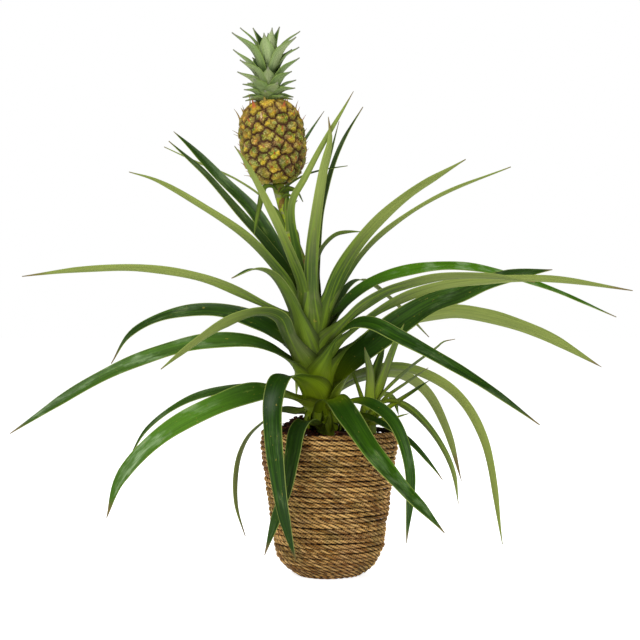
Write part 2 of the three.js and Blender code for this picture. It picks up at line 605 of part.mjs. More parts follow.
// The skin: the places' convex hull says which fruitlets are neighbours, the middle of each of
// its triangles is a corner of the valleys, and each fruitlet rises between its own corners.
// The lowest side of its top is drawn out into the fruitlet's dry, pointed bract.
function fruitSkin(places, draw) {
  const hull = new ConvexGeometry(places.map((place) => place.foot)).attributes.position;
  const corners = places.map(() => []);
  for (let i = 0; i < hull.count; i += 3) {
    const triangle = [0, 1, 2].map((k) => new THREE.Vector3().fromBufferAttribute(hull, i + k));
    const corner = triangle[0].clone().add(triangle[1]).add(triangle[2]).divideScalar(3);
    for (const point of triangle) {
      corners[places.findIndex((place) => place.foot.distanceTo(point) < 1e-3)].push(corner);
    }
  }
  const positions = [];
  const face = (...points) => points.forEach((p) => positions.push(p.x, p.y, p.z));
  places.forEach((place, which) => {
    const { foot, normal, across, upward, flat } = place;
    const angleOf = (p) => Math.atan2(p.clone().sub(foot).dot(upward), p.clone().sub(foot).dot(across));
    const around = corners[which].slice().sort((p, q) => angleOf(p) - angleOf(q));
    const top = foot.clone().addScaledVector(normal, flat ? 0 : FRUITLET_RISE);
    const shoulder = around.map((corner) => corner.clone()
      .lerp(foot, 1 - FRUITLET_SHOULDER)
      .addScaledVector(normal, FRUITLET_RISE * FRUITLET_SHOULDER_RISE));
    const low = shoulder.map((p, k) => {
      const next = shoulder[(k + 1) % shoulder.length];
      return p.clone().add(next).sub(foot).sub(foot).dot(upward);
    });
    const lowest = low.indexOf(Math.min(...low));
    const tip = foot.clone()
      .addScaledVector(across, BRACT_SWAY * (draw() - 0.5))
      .addScaledVector(upward, BRACT_REACH * spread(draw, BRACT_REACH_SPREAD))
      .addScaledVector(normal, FRUITLET_RISE + BRACT_LIFT * spread(draw, BRACT_LIFT_SPREAD));
    around.forEach((corner, k) => {
      const next = (k + 1) % around.length;
      if (flat) {
        face(top, corner, around[next]);
        return;
      }
      face(corner, around[next], shoulder[next]);
      face(corner, shoulder[next], shoulder[k]);
      if (k === lowest) {
        face(tip, shoulder[k], shoulder[next]);
        face(top, shoulder[k], tip);
        face(top, tip, shoulder[next]);
        return;
      }
      face(top, shoulder[k], shoulder[next]);
    });
  });
  const geometry = new THREE.BufferGeometry();
  geometry.setAttribute('position', new THREE.Float32BufferAttribute(positions, 3));
  return geometry;
}

function makeFruit() {
  return solidOf(fruitSkin([...fruitletPlaces(), ...barrelEnds()], seededDraws(FRUIT_SEED)));
}

// One small pointed leaf along three points, with a keeled four-sided section.
function crownLeaf(root, bend, tip, outward, width) {
  const curve = new THREE.QuadraticBezierCurve3(root, bend, tip);
  const rings = [];
  for (let i = 0; i <= CROWN_STATIONS; i += 1) {
    const t = i / CROWN_STATIONS;
    const along = curve.getTangent(t);
    const side = new THREE.Vector3().crossVectors(along, outward).normalize();
    const inward = new THREE.Vector3().crossVectors(along, side).normalize();
    const centre = curve.getPoint(t);
    const taper = Math.min(1, CROWN_LEAF_SHOULDER * (1 - t) ** CROWN_LEAF_POINT);
    const half = Math.max(CROWN_TIP_HALF_WIDTH, (width / 2) * taper);
    const lift = CROWN_LEAF_CHANNEL * half;
    const at = (across, off) => centre.clone().addScaledVector(side, across).addScaledVector(inward, off);
    rings.push([at(-half, lift), at(0, -CROWN_LEAF_THICKNESS), at(half, lift), at(0, 0)]);
  }
  return skinOf(rings);
}

// The crown stands upright on the tilted fruit: its places shear back from the fruit's axis.
function onCrown(radius, turn, up) {
  const point = onFruit(radius, turn, FRUIT_LENGTH + SEAT_GAP + up);
  point.x -= (FRUIT_AXIS.x / FRUIT_AXIS.z) * up;
  return point;
}

// The crown's leaves: the lowest are short and stand out, the middle ones are the longest,
// and the innermost stand upright.
function makeCrown() {
  const draw = seededDraws(CROWN_SEED);
  const leaves = [];
  for (let i = 0; i < CROWN_LEAVES; i += 1) {
    const share = i / (CROWN_LEAVES - 1);
    const turn = i * GOLDEN_ANGLE + CROWN_TURN_WOBBLE * (draw() - 0.5);
    const foot = CROWN_FOOT_LOW + CROWN_FOOT_RISE * share;
    const out = between(CROWN_REACH, share) * spread(draw, CROWN_REACH_SPREAD);
    const rise = share ** CROWN_TIP_CURVE * (1 - CROWN_TIP_SHORT * draw());
    const up = CROWN_TIP_LOW + (CROWN_HEIGHT - CROWN_TIP_LOW) * rise;
    const root = onCrown(CROWN_ROOT_RADIUS, turn, foot);
    const bendOut = Math.max(CROWN_BEND_LEAST, out * CROWN_BEND_OUT);
    const bend = onCrown(bendOut, turn, foot + (up - foot) * CROWN_BEND_UP);
    const tip = onCrown(out, turn, up);
    const outward = onFruit(1, turn, 0).sub(FRUIT_BASE);
    const width = CROWN_LEAF_WIDTH + CROWN_LEAF_WIDER * Math.sin(Math.PI * (0.15 + 0.8 * share));
    leaves.push(solidOf(crownLeaf(root, bend, tip, outward, width)));
  }
  const coreRing = (up, radius) => {
    const ring = [];
    for (let s = 0; s < CROWN_CORE_SIDES; s += 1) {
      ring.push(onCrown(radius, (2 * Math.PI * (s + CORNER_TURN)) / CROWN_CORE_SIDES, up));
    }
    return ring;
  };
  const core = solidOf(skinOf(CROWN_CORE.map(([up, radius]) => coreRing(up, radius))));
  return largestBody(joinAll([core, ...leaves]));
}

// Narrow bracts on the fruit stalk. Each starts inside the stalk.
const STALK_BRACTS = [
  { azimuth: 180, width: 5.5, base: 7,
    points: [[-55, -1, 419], [-62, -6, 425], [-69, -9, 424], [-75, -11, 402], [-81, -12, 372]] },
  { azimuth: 330, width: 4, base: 6,
    points: [[-54, -1, 414], [-46, -8, 422], [-35, -12, 420], [-27, -13, 408]] },
  { azimuth: 320, width: 3.5, base: 5,
    points: [[-52, -1, 408], [-45, -8, 416], [-39, -11, 413], [-36, -12, 405]] },
  { azimuth: 340, width: 3, base: 5,
    points: [[-54, -1, 416], [-43, -15, 426], [-28, -22, 435], [-9, -25, 441], [21, -28, 446]] },
  { azimuth: 200, width: 6, base: 10,
    points: [[-41, 0, 368], [-50, -4, 384], [-56, -6, 398], [-66, -8, 408]] },
  { azimuth: 60, width: 6, base: 10,
    points: [[-46, 0, 388], [-42, 7, 402], [-36, 14, 414], [-26, 20, 418]] },
];

// The side shoot beside the main stem: a short stem with its own small leaves.
const OFFSHOOT_RINGS = [
  [46, 0, 112, 4],
  [46, 0, 128, 7],
  [46, 0, 160, 8],
  [46, 0, 176, 6],
  [46, 0, 184, 3],
];
const OFFSHOOT_SIDES = 10;
const OFFSHOOT_LEAVES = [
  { azimuth: 268, width: 11, base: 12, points: [[46, 0, 170], [46, -3, 195], [46, -4, 222], [40, -5, 249]] },
  { azimuth: 300, width: 10.5, base: 12,
    points: [[47, 1, 170], [54, 2, 195], [64, 4, 224], [72, 6, 246], [84, 9, 275]] },
  { azimuth: 290, width: 7, base: 10, points: [[45, 3, 170], [48, 8, 196], [53, 10, 222], [63, 13, 252]] },
  { azimuth: 351, width: 10.5, base: 13,
    points: [[47, -1, 166], [57, -4, 186], [69, -6, 190], [87, -9, 183], [106, -12, 166],
      [124, -15, 141], [136, -17, 114], [142, -18, 79]] },
  { azimuth: 8, width: 4, base: 8,
    points: [[47, 1, 170], [57, 4, 193], [88, 8, 224], [121, 12, 249], [128, 12, 255], [141, 12, 258]] },
  { azimuth: 356, width: 3.6, base: 7, points: [[47, 0, 170], [62, 0, 192], [86, -2, 210], [110, -4, 227]] },
  { azimuth: 350, width: 5.5, base: 8,
    points: [[47, -2, 166], [68, -6, 184], [90, -10, 199], [110, -14, 213]] },
  { azimuth: 180, width: 5, base: 8, points: [[45, 0, 170], [38, 1, 190], [32, 1, 208], [26, 1, 226]] },
  { azimuth: 345, width: 3.6, base: 6, points: [[47, -2, 162], [64, -7, 169], [88, -10, 177]] },
  { azimuth: 40, width: 8, base: 11,
    points: [[46, 2, 166], [54, 12, 186], [64, 24, 196], [74, 36, 190], [80, 44, 172]] },
];

function blades(rows, extra = 0) {
  return rows.map((row) => {
    const turn = THREE.MathUtils.degToRad(row.azimuth);
    return solidOf(bladeGeometry({
      ...row,
      stations: SMALL_LEAF_STATIONS,
      points: row.points.map(([x, y, z]) => new THREE.Vector3(x, y, z)),
      side: new THREE.Vector3(-Math.sin(turn), Math.cos(turn), 0),
    }, extra));
  });
}

// Stem or stalk and what grew on it, as one solid. extra fattens it for clearance.
function grownStem(rings, sides, leaves, extra = 0) {
  return largestBody(joinAll([solidOf(levelTube(rings, sides, extra)), ...blades(leaves, extra)]));
}

// Room for the crown's foot among the topmost fruitlets.
function crownSeat() {
  return solidOf(axisTube(CROWN_SEAT.map(([up, radius]) => [FRUIT_LENGTH + up, radius]), FRUIT_SIDES));
}

const fatStem = solidOf(levelTube(STEM_RINGS, STEM_SIDES, SEAT_GAP));
const fatStalk = grownStem(STALK_RINGS, STALK_SIDES, STALK_BRACTS, SEAT_GAP);
const fatOffshoot = solidOf(levelTube(OFFSHOOT_RINGS, OFFSHOOT_SIDES, SEAT_GAP));
const leaves = makeLeaves(fatStem.add(fatStalk));

const plant = new THREE.Group();
plant.name = 'potted_pineapple_plant';

function place(name, solid, finish) {
  const mesh = new THREE.Mesh(geometryOf(solid), new THREE.MeshStandardMaterial(finish));
  mesh.name = name;
  plant.add(mesh);
}

place('basket', solidOf(makeBasket()), SEAGRASS);
place('grow_pot', makeGrowPot(), BLACK_PLASTIC);
place('soil', makeSoil([fatStem, fatOffshoot]), POTTING_MIX);
place('stem', solidOf(levelTube(STEM_RINGS, STEM_SIDES)), STEM_GREEN);
for (const leaf of leaves) {
  place(leaf.name, leaf.solid, LEAF_GREEN);
}
place('offshoot', grownStem(OFFSHOOT_RINGS, OFFSHOOT_SIDES, OFFSHOOT_LEAVES), LEAF_GREEN);
place('fruit_stalk', grownStem(STALK_RINGS, STALK_SIDES, STALK_BRACTS), STALK_GREEN);
place('fruit', makeFruit().subtract(fatStalk).subtract(crownSeat()), FRUIT_GOLD);
place('crown', makeCrown(), CROWN_GREEN);

export default plant;
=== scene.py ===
"""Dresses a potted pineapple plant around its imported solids. Lengths in the tables are millimetres."""

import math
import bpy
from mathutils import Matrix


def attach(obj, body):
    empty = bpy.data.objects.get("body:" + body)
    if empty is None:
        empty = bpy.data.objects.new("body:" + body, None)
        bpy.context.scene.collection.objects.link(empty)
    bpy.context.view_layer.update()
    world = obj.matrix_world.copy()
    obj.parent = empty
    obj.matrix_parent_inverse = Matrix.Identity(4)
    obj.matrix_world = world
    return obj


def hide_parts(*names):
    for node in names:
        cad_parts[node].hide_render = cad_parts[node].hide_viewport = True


bl_info = {
    "name": "Potted pineapple plant",
    "version": (1, 0, 0),
    "blender": (4, 5, 0),
    "location": "View3D > Sidebar > Pineapple",
    "description": "Leaves, fruit, crown, side shoot, potting mix and rope basket of a pineapple plant",
    "category": "Object",
}

import bpy
import numpy as np
from bpy.props import FloatProperty, FloatVectorProperty, IntProperty, PointerProperty

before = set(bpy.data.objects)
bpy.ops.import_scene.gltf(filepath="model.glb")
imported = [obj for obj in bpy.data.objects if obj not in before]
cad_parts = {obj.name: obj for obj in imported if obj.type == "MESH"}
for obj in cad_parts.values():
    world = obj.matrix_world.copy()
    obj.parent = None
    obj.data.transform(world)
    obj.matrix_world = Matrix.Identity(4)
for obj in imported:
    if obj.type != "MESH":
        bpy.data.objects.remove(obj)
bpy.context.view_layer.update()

MM = 0.001


def paint(*seen):
    """Red, green and blue as seen, 0 to 255, turned into the light that the finishes work in."""
    return tuple(c / 255 / 12.92 if c <= 10 else ((c / 255 + 0.055) / 1.055) ** 2.4 for c in seen)


def colour(name, description, seen):
    return FloatVectorProperty(
        name=name, description=description, default=paint(*seen), subtype="COLOR", size=3, min=0, max=1
    )


def number(name, description, count, least, most):
    return IntProperty(name=name, description=description, default=count, min=least, max=most)


def length(name, description, millimetres):
    return FloatProperty(
        name=name, description=description, default=millimetres * MM, subtype="DISTANCE", unit="LENGTH", min=0
    )


# The main stem, as rows of [x, y, z, radius]: thinner than its solid, because the leaf bases wrap it.
STEM_RINGS = (
    (2, 0, 96, 7), (0, 0, 136, 7), (-2, 0, 157, 7.5), (-5, 0, 170, 11.5), (-8, 0, 184, 16), (-12, 0, 215, 16),
    (-16, 0, 250, 14), (-20, 0, 285, 10.5), (-24, 0, 318, 6.5), (-26.5, 0, 334, 4),
)
ROSETTE_X = -14

# The leaves from the innermost outwards: name, azimuth in degrees, root height, width, roll (or roll at
# shares of the length), (tone, grey, dry tip) and the points of the path. A point is (out, up) from the
# rosette's centre line in the leaf's own upright plane, or (x, y, z) where it winds past its neighbours.
LEAVES = (
    ("leaf_back_rising_thin", 70, 296, 5.5, 0, (0.3, 0.5, 0.5),
     ((-18, 16, 330), (-15, 34, 385), (-7, 54, 430), (2, 70, 465), (13, 82, 509))),
    ("leaf_upper_left_thin", 143, 294, 7.5, 30, (0.6, 0.2, 0.3),
     ((24, 343), (43, 382), (65, 410), (111, 439), (176, 465), (226, 486))),
    ("leaf_back_thin_right", 20, 290, 10, -45, (0.8, 0.3, 0.3),
     ((-15, 7, 328), (-9, 11, 353), (-1, 20, 366), (10, 26, 375), (23, 32, 378), (38, 42, 379))),
    ("leaf_behind_fruit", 110, 288, 7, 0, (0.7, 0.1, 0.5),
     ((-27, 15, 322), (-41, 26, 369), (-46, 36, 426), (-39, 45, 459), (-25, 51, 485), (-4, 57, 517))),
    ("leaf_upper_left_back", 172, 284, 14.5, -40, (0.2, 0.4, 0.3),
     ((24, 318), (53, 361), (86, 399), (125, 443), (146, 462), (165, 479))),
    ("leaf_front_rising_narrow", 262, 282, 9, 0, (0.3, 0, 0.5),
     ((-28, -17, 322), (-34, -21, 354), (-40, -25, 392), (-38, -27, 410), (-26, -31, 431), (-12, -36, 457),
      (3, -41, 483), (17, -45, 506), (27, -48, 523))),
    ("leaf_back_rising_dark", 50, 278, 10.5, 0, (0.1, 0.3, 0.5),
     ((-13, 15, 322), (-11, 23, 362), (-8, 31, 398), (-1, 37, 429), (5, 42, 451), (11, 47, 468),
      (21, 54, 490), (40, 64, 523))),
    ("leaf_upper_left_dark", 148, 272, 18, -45, (0.2, 0.1, 0.3),
     ((29, 317), (55, 365), (82, 402), (127, 441), (172, 481), (196, 500))),
    ("leaf_upper_left_bright", 243, 266, 13, 0, (0.9, 0, 0.3),
     ((30, 312), (56, 347), (90, 382), (122, 412), (155, 439), (175, 452))),
    ("leaf_front_upright_pale", 280, 260, 15.5, 0, (0.6, 0.2, 0.6),
     ((-17, -24, 292), (-18, -30, 340), (-13, -35, 390), (-5, -40, 440), (2, -44, 474), (0, -47, 496))),
    ("leaf_right_steep", 318, 258, 19, -20, (0.5, 0.1, 0.3),
     ((23, 307), (48, 345), (83, 378), (129, 408), (204, 441))),
    ("leaf_right_steep_narrow", 345, 262, 15, -12, (0.6, 0.1, 0.3),
     ((31, 318), (62, 360), (101, 391), (144, 415), (215, 442))),
    ("leaf_right_grey_thin", 48, 258, 11, 0, (0.4, 0.7, 0.5),
     ((32, 288), (50, 313), (69, 324), (87, 324), (129, 305), (204, 259))),
    ("leaf_upper_left_pale", 200, 262, 12.5, 40, (0.6, 0.1, 0.3),
     ((27, 310), (49, 340), (80, 370), (129, 401), (179, 427), (208, 435))),
    ("leaf_far_left", 176, 246, 15.5, 42, (1.0, 0.1, 0.7),
     ((21, 276), (56, 295), (122, 324), (192, 336), (260, 335), (328, 328))),
    ("leaf_back_high", 92, 246, 16, 0, (0.3, 0.1, 0.3),
     ((26, 290), (66, 318), (125, 322), (185, 300), (228, 262))),
    ("leaf_far_right_bright", 25, 246, 18, 40, (1.0, 0, 0.5),
     ((27, 286), (63, 317), (122, 336), (196, 340), (291, 321), (404, 283))),
    ("leaf_left_short_pale", 224, 240, 23, 0, (0.4, 0.3, 0.4),
     ((28, 281), (46, 311), (65, 328), (88, 333), (121, 323))),
    ("leaf_right_pale", 350, 240, 18, -35, (0.15, 0.3, 0.3),
     ((27, 266), (45, 287), (77, 308), (99, 316), (138, 325), (190, 326), (239, 320))),
    ("leaf_far_right", 2, 226, 19, -35, (0.6, 0.1, 0.6),
     ((29, 253), (60, 281), (99, 303), (139, 316), (186, 322), (259, 324), (352, 312))),
    ("leaf_left_short_broad", 217, 216, 22, ((0, 0), (0.3, 15), (0.6, 50), (1, 55)), (0.5, 0.2, 0.3),
     ((37, 262), (48, 281), (72, 287), (119, 275), (169, 247), (197, 229))),
    ("leaf_left_arch_dark", 163, 222, 25.5, -42, (0.2, 0.1, 0.6),
     ((29, 248), (58, 272), (112, 289), (176, 284), (222, 262), (246, 229))),
    ("leaf_back_middle", 98, 214, 14, 0, (0.3, 0.1, 0.3),
     ((30, 244), (66, 262), (110, 256), (150, 226), (172, 184))),
    ("leaf_right_dark_arch", 312, 212, 19, ((0, 0), (0.1, 30), (0.3, 42), (0.6, 30), (1, 10)), (0.1, 0, 0.5),
     ((31, 254), (61, 274), (89, 275), (131, 261), (236, 220), (316, 181))),
    ("leaf_right_pale_wide", 30, 210, 24, -50, (0.55, 0.1, 0.6),
     ((42, 248), (111, 276), (183, 288), (229, 284), (279, 273), (329, 257), (409, 221))),
    ("leaf_right_glossy_wide", 14, 192, 35, ((0, 25), (0.3, 48), (1, 52)), (0.2, 0.1, 0.3),
     ((36, 228), (68, 254), (107, 282), (136, 298), (166, 308), (196, 320), (239, 331), (280, 337))),
    ("leaf_left_long_dark", 195, 198, 23.5, -45, (0.55, 0.2, 0.5),
     ((28, 232), (65, 253), (124, 255), (189, 238), (245, 213), (329, 161))),
    ("leaf_back_right_middle", 84, 196, 13, 0, (0.3, 0.1, 0.3),
     ((30, 226), (64, 240), (108, 230), (146, 196), (166, 150))),
    ("leaf_front_hanging", 248, 186, 25, 0, (0.05, 0, 0.4),
     ((-25, -30, 210), (-36, -48, 219), (-50, -70, 217), (-57, -88, 195), (-57, -97, 165),
      (-53, -100, 124), (-47, -99, 83), (-40, -96, 52), (-34, -92, 29))),
    ("leaf_right_arch_outer", 20, 184, 15, ((0, -30), (0.2, -44), (1, -35)), (0.95, 0.1, 0.2),
     ((34, 210), (63, 222), (108, 225), (168, 197), (205, 144), (230, 20))),
    ("leaf_right_hanging", 325, 172, 18, 25, (0.3, 0, 0.5),
     ((24, 182), (42, 190), (70, 190), (101, 171), (121, 123), (118, 44))),
    ("leaf_right_arch_inner", 44, 178, 15.5, ((0, -30), (0.2, -44), (1, -35)), (0.6, 0.35, 1),
     ((34, 197), (73, 212), (138, 215), (184, 193), (219, 148), (247, 83))),
    ("leaf_left_low_bright", 207, 174, 28.5, -45, (1.0, 0.15, 0.6),
     ((27, 193), (63, 201), (109, 191), (180, 158), (225, 115), (240, 76))),
    ("leaf_left_low_dark", 165, 174, 15.5, -40, (0.3, 0.1, 0.5),
     ((26, 194), (52, 200), (93, 202), (148, 189), (198, 155), (222, 118))),
    ("leaf_front_right_bright", 298, 168, 28, ((0, 0), (0.1, 12), (1, 0)), (0.3, 0, 0.4),
     ((28, 190), (44, 194), (78, 174), (122, 145), (167, 121), (195, 108), (261, 79))),
    ("leaf_front_hanging_low", 238, 158, 22, 0, (0.1, 0.1, 0.6),
     ((-14, -38, 166), (-24, -56, 172), (-32, -71, 163), (-37, -80, 138), (-44, -83, 102), (-55, -83, 70),
      (-67, -80, 33))),
    ("leaf_right_low_dark", 336, 157, 10.5, 30, (0.1, 0.1, 0.5),
     ((30, 166), (54, 175), (82, 166), (110, 150), (138, 122), (148, 110))),
    ("leaf_back_left_grey", 146, 168, 13, ((0, -35), (0.3, -25), (0.6, 0), (1, 0)), (0.4, 0.5, 0.6),
     ((-34, 22, 177), (-54, 42, 177), (-74, 60, 162), (-90, 71, 146), (-101, 78, 124), (-106, 80, 97),
      (-105, 78, 64), (-95, 72, 30))),
)

# How a leaf's foot clasps the stem.
FOOT_RUN = 8
FOOT_CLEAR = 0.3
FOOT_LEAN = 3.8
FOOT_SHIFT = 1.5
NARROW_LEAF = 9
NARROW_WRAP = 1.2
WIDE_WRAP = 1.9
LOW_ROOT = 185
SHORT_SHEATH = 0.65
SHEATH_CLEAR = 0.6
FULL_HOLD = 0.1
LEAF_SEED = 1.7

# The form of any blade: its gutter, its margins, and the faint ripple along it.
PATH_STEPS = 24
SHORTEST_SPAN = 1e-4
STATION_CROWDING = 1.15
LEAST_HALF_WIDTH = 0.12
GUTTER_ANGLE = 0.395
WIDEST_ANGLE = 2.2
FOOT_ANGLE = 0.4
FOOT_SHARE = 0.15
ROLL_SHARE = 0.35
RIPPLE_SHARE = 0.05
RIPPLE_LENGTH = 13
RIPPLE_START = (40, 90)
MARGIN = 0.6
MARGIN_THICKNESS = 0.55
THINNEST_SHARE = 0.3
GRAIN_SHIFT = 31
# A stem has the colours that a blade has at this share of its length.
STEM_SHARE = 0.3

# Stubs of old leaf bases that droop from the stem's foot: azimuth, width, points.
OLD_BASES = (
    (285, 10, ((-3, -13, 182), (-1, -17, 174), (0, -17.5, 164), (1, -16, 155))),
    (305, 9, ((4, -11, 180), (7, -14, 172), (8, -14.5, 164), (9, -13, 158))),
    (262, 11, ((-9, -14, 184), (-11, -18, 177), (-12, -18.5, 169), (-12, -17, 162))),
    (230, 10, ((-17, -10, 182), (-21, -14, 175), (-22, -15, 167), (-21, -14, 160))),
    (340, 9, ((8, -4, 180), (12, -6, 172), (13, -6, 164), (13, -5, 157))),
    (150, 11, ((-16, 8, 182), (-20, 10, 174), (-21, 11, 165), (-20, 11, 158))),
    (50, 10, ((2, 11, 182), (5, 14, 174), (6, 15, 166), (6, 14, 158))),
)

STALK_RINGS = (
    (-26.7, 0, 334.4, 7.4), (-32, 0, 350, 6.8), (-42, 0, 376, 6.2), (-49, 0, 402, 6),
    (-54.4, 0, 424, 6.6), (-55.2, 0, 430, 8.2),
)
# Narrow leaves that grow on a stem: azimuth, width, roll, (tone, grey, dry tip), points.
STALK_BRACTS = (
    (180, 8.5, 50, (0.8, 0.1, 0.3),
     ((-55, -1, 419), (-62, -6, 425), (-69, -9, 424), (-75, -11, 402), (-81, -12, 372))),
    (330, 9, -40, (0.7, 0.1, 0.4), ((-54, -1, 414), (-46, -8, 422), (-35, -12, 420), (-27, -13, 408))),
    (320, 6, -40, (0.7, 0.1, 0.3), ((-52, -1, 408), (-45, -8, 416), (-39, -11, 413), (-36, -12, 405))),
    (340, 4, 40, (0.1, 0.3, 0.3),
     ((-54, -1, 416), (-43, -15, 426), (-28, -22, 435), (-9, -25, 441), (21, -28, 446))),
    (200, 7, 40, (0.5, 0.3, 0.5), ((-41, 0, 368), (-50, -4, 384), (-56, -6, 398), (-66, -8, 408))),
    (60, 6, 0, (0.5, 0.3, 0.5), ((-46, 0, 388), (-42, 7, 400), (-38, 12, 408), (-34, 15, 412))),
)
# Scales that hug the stalk: azimuth, foot height, length, width. Their curve is (out, share of the length).
SCALE_LEAVES = ((260, 352, 26, 8), (245, 376, 24, 8), (280, 394, 20, 7), (100, 384, 22, 9))
SCALE_CURVE = ((0, 0), (2.0, 0.5), (2.6, 1))
SCALE_FOOT = 5.4

SHOOT_RINGS = ((46, 0, 112, 4), (46, 0, 128, 7), (46, 0, 160, 8), (46, 0, 176, 6), (46, 0, 184, 3))
# The inner leaves of the side shoot nest in the outer ones.
SHOOT_SHEATH = 26
SHOOT_WRAP = 1.4
SHOOT_RADIUS = 9.4
SHOOT_NESTING = 0.3
SHOOT_LEAVES = (
    (268, 12, 0, (0.9, 0.6, 0.4), ((46, 0, 170), (46, -3, 195), (46, -4, 222), (40, -5, 249))),
    (300, 13, 0, (0.9, 0.2, 0.3), ((47, 1, 170), (54, 2, 195), (64, 4, 224), (72, 6, 246), (84, 9, 275))),
    (290, 15, 0, (0.0, 0.1, 0.3), ((45, 3, 170), (48, 8, 196), (53, 10, 222), (63, 13, 252))),
    (351, 11, -55, (0.6, 0.3, 0.4),
     ((47, -1, 166), (57, -4, 186), (69, -6, 190), (87, -9, 183), (106, -12, 166), (124, -15, 141),
      (136, -17, 114), (142, -18, 79))),
    (8, 6.5, -45, (0.5, 0.6, 0.7),
     ((47, 1, 170), (57, 4, 193), (88, 8, 224), (121, 12, 249), (128, 12, 255), (141, 12, 258))),
    (356, 5.5, -45, (0.6, 0.6, 0.5), ((47, 0, 170), (62, 0, 192), (86, -2, 210), (110, -4, 227))),
    (350, 8, 45, (0.0, 0.1, 0.5), ((47, -2, 166), (68, -6, 184), (90, -10, 199), (110, -14, 213))),
    (180, 8, 40, (0.4, 0.4, 0.3), ((45, 0, 170), (38, 1, 190), (32, 1, 208), (26, 1, 226))),
    (345, 4.5, -40, (0.7, 0.4, 0.3), ((47, -2, 162), (64, -7, 169), (88, -10, 177))),
    (40, 9, -40, (0.4, 0.2, 0.4), ((46, 2, 166), (54, 12, 186), (64, 24, 196), (74, 36, 190), (80, 44, 172))),
)

# The fruit: a barrel on a slightly tilted axis. Its fruitlets climb it, each one a turn on from the last.
FRUIT_BASE = np.array((-55.4, 0, 430.6))
FRUIT_TOP = np.array((-66.0, 0, 517.0))
FRUIT_RADIUS = 33.6
FRUIT_FULLNESS = 2.6
FRUIT_SHOULDER_FULLNESS = 3.3
FRUIT_END_SPARE = 3
FRUIT_SLICES = 400
FRUIT_STEPS = 300
FRUITLET_TURN = math.radians(293)
FRUITLET_START = math.radians(56)
FRUITLET_STRAY = 1.3

# An eye: four narrow scales and the broad one of its bract, with creases between them. Angles in degrees.
EYE_HALF = 6.4
SCALES = 5
SCALE_START = 30
SCALE_SPAN = 60
SCALE_PUFF = 0.6
BRACT_SCALE = 4
BRACT_START = 240
BRACT_PUFF = 0.7
BRACT_TUCK = 3.0
CREASE_WIDTH = 0.5
CREASE_DEPTH = 0.32
END_RELIEF = 0.3

CROWN_FOOT = np.array((-66.0, 0, 516.0))
CROWN_CORE = ((0.6, 13), (10, 11), (24, 9.5), (40, 7.5), (54, 5), (62, 2.5))
CROWN_INSET = 4
CROWN_DEPTH = 5
CROWN_BREADTH = 1.3

# The crown's leaves: azimuth, foot height, width, then (out, up) of its bend and of its tip.
CROWN_LEAVES = (
    (200, 33, 17, (17, 58), (41, 77)), (170, 48, 9, (15, 70), (31, 86)), (188, 22, 15, (17, 41), (38, 60)),
    (215, 17, 15, (16, 34), (36, 46)), (205, 11, 15, (17, 25), (36, 34)), (175, 12, 12, (17, 20), (28, 23.5)),
    (195, 7, 12, (16, 14), (27, 16)), (180, 5, 11, (16, 9), (28, 8.5)), (200, 3, 11, (15, 5), (26, 3.5)),
    (170, 1, 9, (15, 1.5), (23, -1)), (15, 46, 10, (18, 68), (36, 83)), (335, 33, 17, (17, 58), (34, 72)),
    (20, 36, 12, (19, 54), (36, 66)), (350, 24, 14, (18, 38), (35, 51)), (325, 14, 15, (18, 28), (32, 34)),
    (10, 14, 12, (18, 22), (31, 28.5)), (345, 9, 15, (17, 15), (31, 17.5)), (0, 5, 14, (16, 9), (28, 9)),
    (340, 3, 14, (16, 6), (29, 5)), (272, 13, 15, (12, 29), (22, 38)), (250, 40, 18, (8, 60), (11, 77)),
    (300, 46, 15, (7, 66), (9, 83)), (240, 8, 15, (15, 18), (30, 25)), (295, 6, 14, (14, 15), (27, 21)),
    (265, 2, 13, (13, 8), (25, 12)), (310, 1, 12, (14, 5), (26, 7)), (225, 1, 12, (14, 5), (26, 6)),
    (150, 50, 14, (11, 70), (19, 86.5)), (35, 50, 14, (9, 70), (14.5, 87.5)), (90, 55, 8, (3, 70), (5, 80)),
    (60, 2, 12, (15, 6), (28, 8)), (105, 6, 13, (16, 13), (31, 17)), (135, 11, 14, (17, 22), (33, 28)),
    (75, 17, 15, (17, 31), (35, 41)), (120, 26, 16, (17, 44), (37, 58)), (45, 31, 15, (18, 50), (36, 66)),
    (100, 40, 14, (15, 62), (31, 79)), (80, 4, 12, (15, 9), (29, 12)),
)

# The basket's outside, close to its solid, and its rope.
BASKET_HEIGHT = 158
BASKET_LOW_RADIUS = 54.8
BASKET_FLARE = 0.14
BASKET_SHOULDER = 135
BASKET_RIM_TUCK = 4
BASKET_FOOT_HEIGHT = 34
BASKET_FOOT_TUCK = 23
BASKET_FOOT_CURVE = 2.3
BASKET_ASIDE = 1
BASKET_LIFT = 0.2
BASKET_STEPS = 400
ROPE_RADIUS = 2.9
ROPE_STEP = 5.5
ROPE_SMALLEST = 2.6
ROPE_STANDOUT = 1.3
ROPE_SWELL = 1.08
PLIES = 4
LAY_SPREAD = (0.85, 1.1)
LOT_LENGTH = 31
DEEPEST_DENT = 0.66
# Painted shade in the crevices between rows: it sets in as the rope's section turns from the front towards
# the next row, between these cosines.
CREVICE_SHADE = (-0.25, 0.8)
# The strands of a row slant one way in front and the other way behind, and meet this far from the front.
STRAND_TURN = math.radians(78)
STRAND_BLEND = 0.05
TURN_SPREAD = 0.25
# Unevenness along a row of rope: (size, waves in a row, shift from row to row).
ROPE_LOOSE = ((0.1, 3, 1), (0.06, 7, 2.1))
ROPE_WANDER = ((0.35, 2, 1.7), (0.25, 5, 0))
ROPE_RISE = ((0.28, 3, 2.3),)

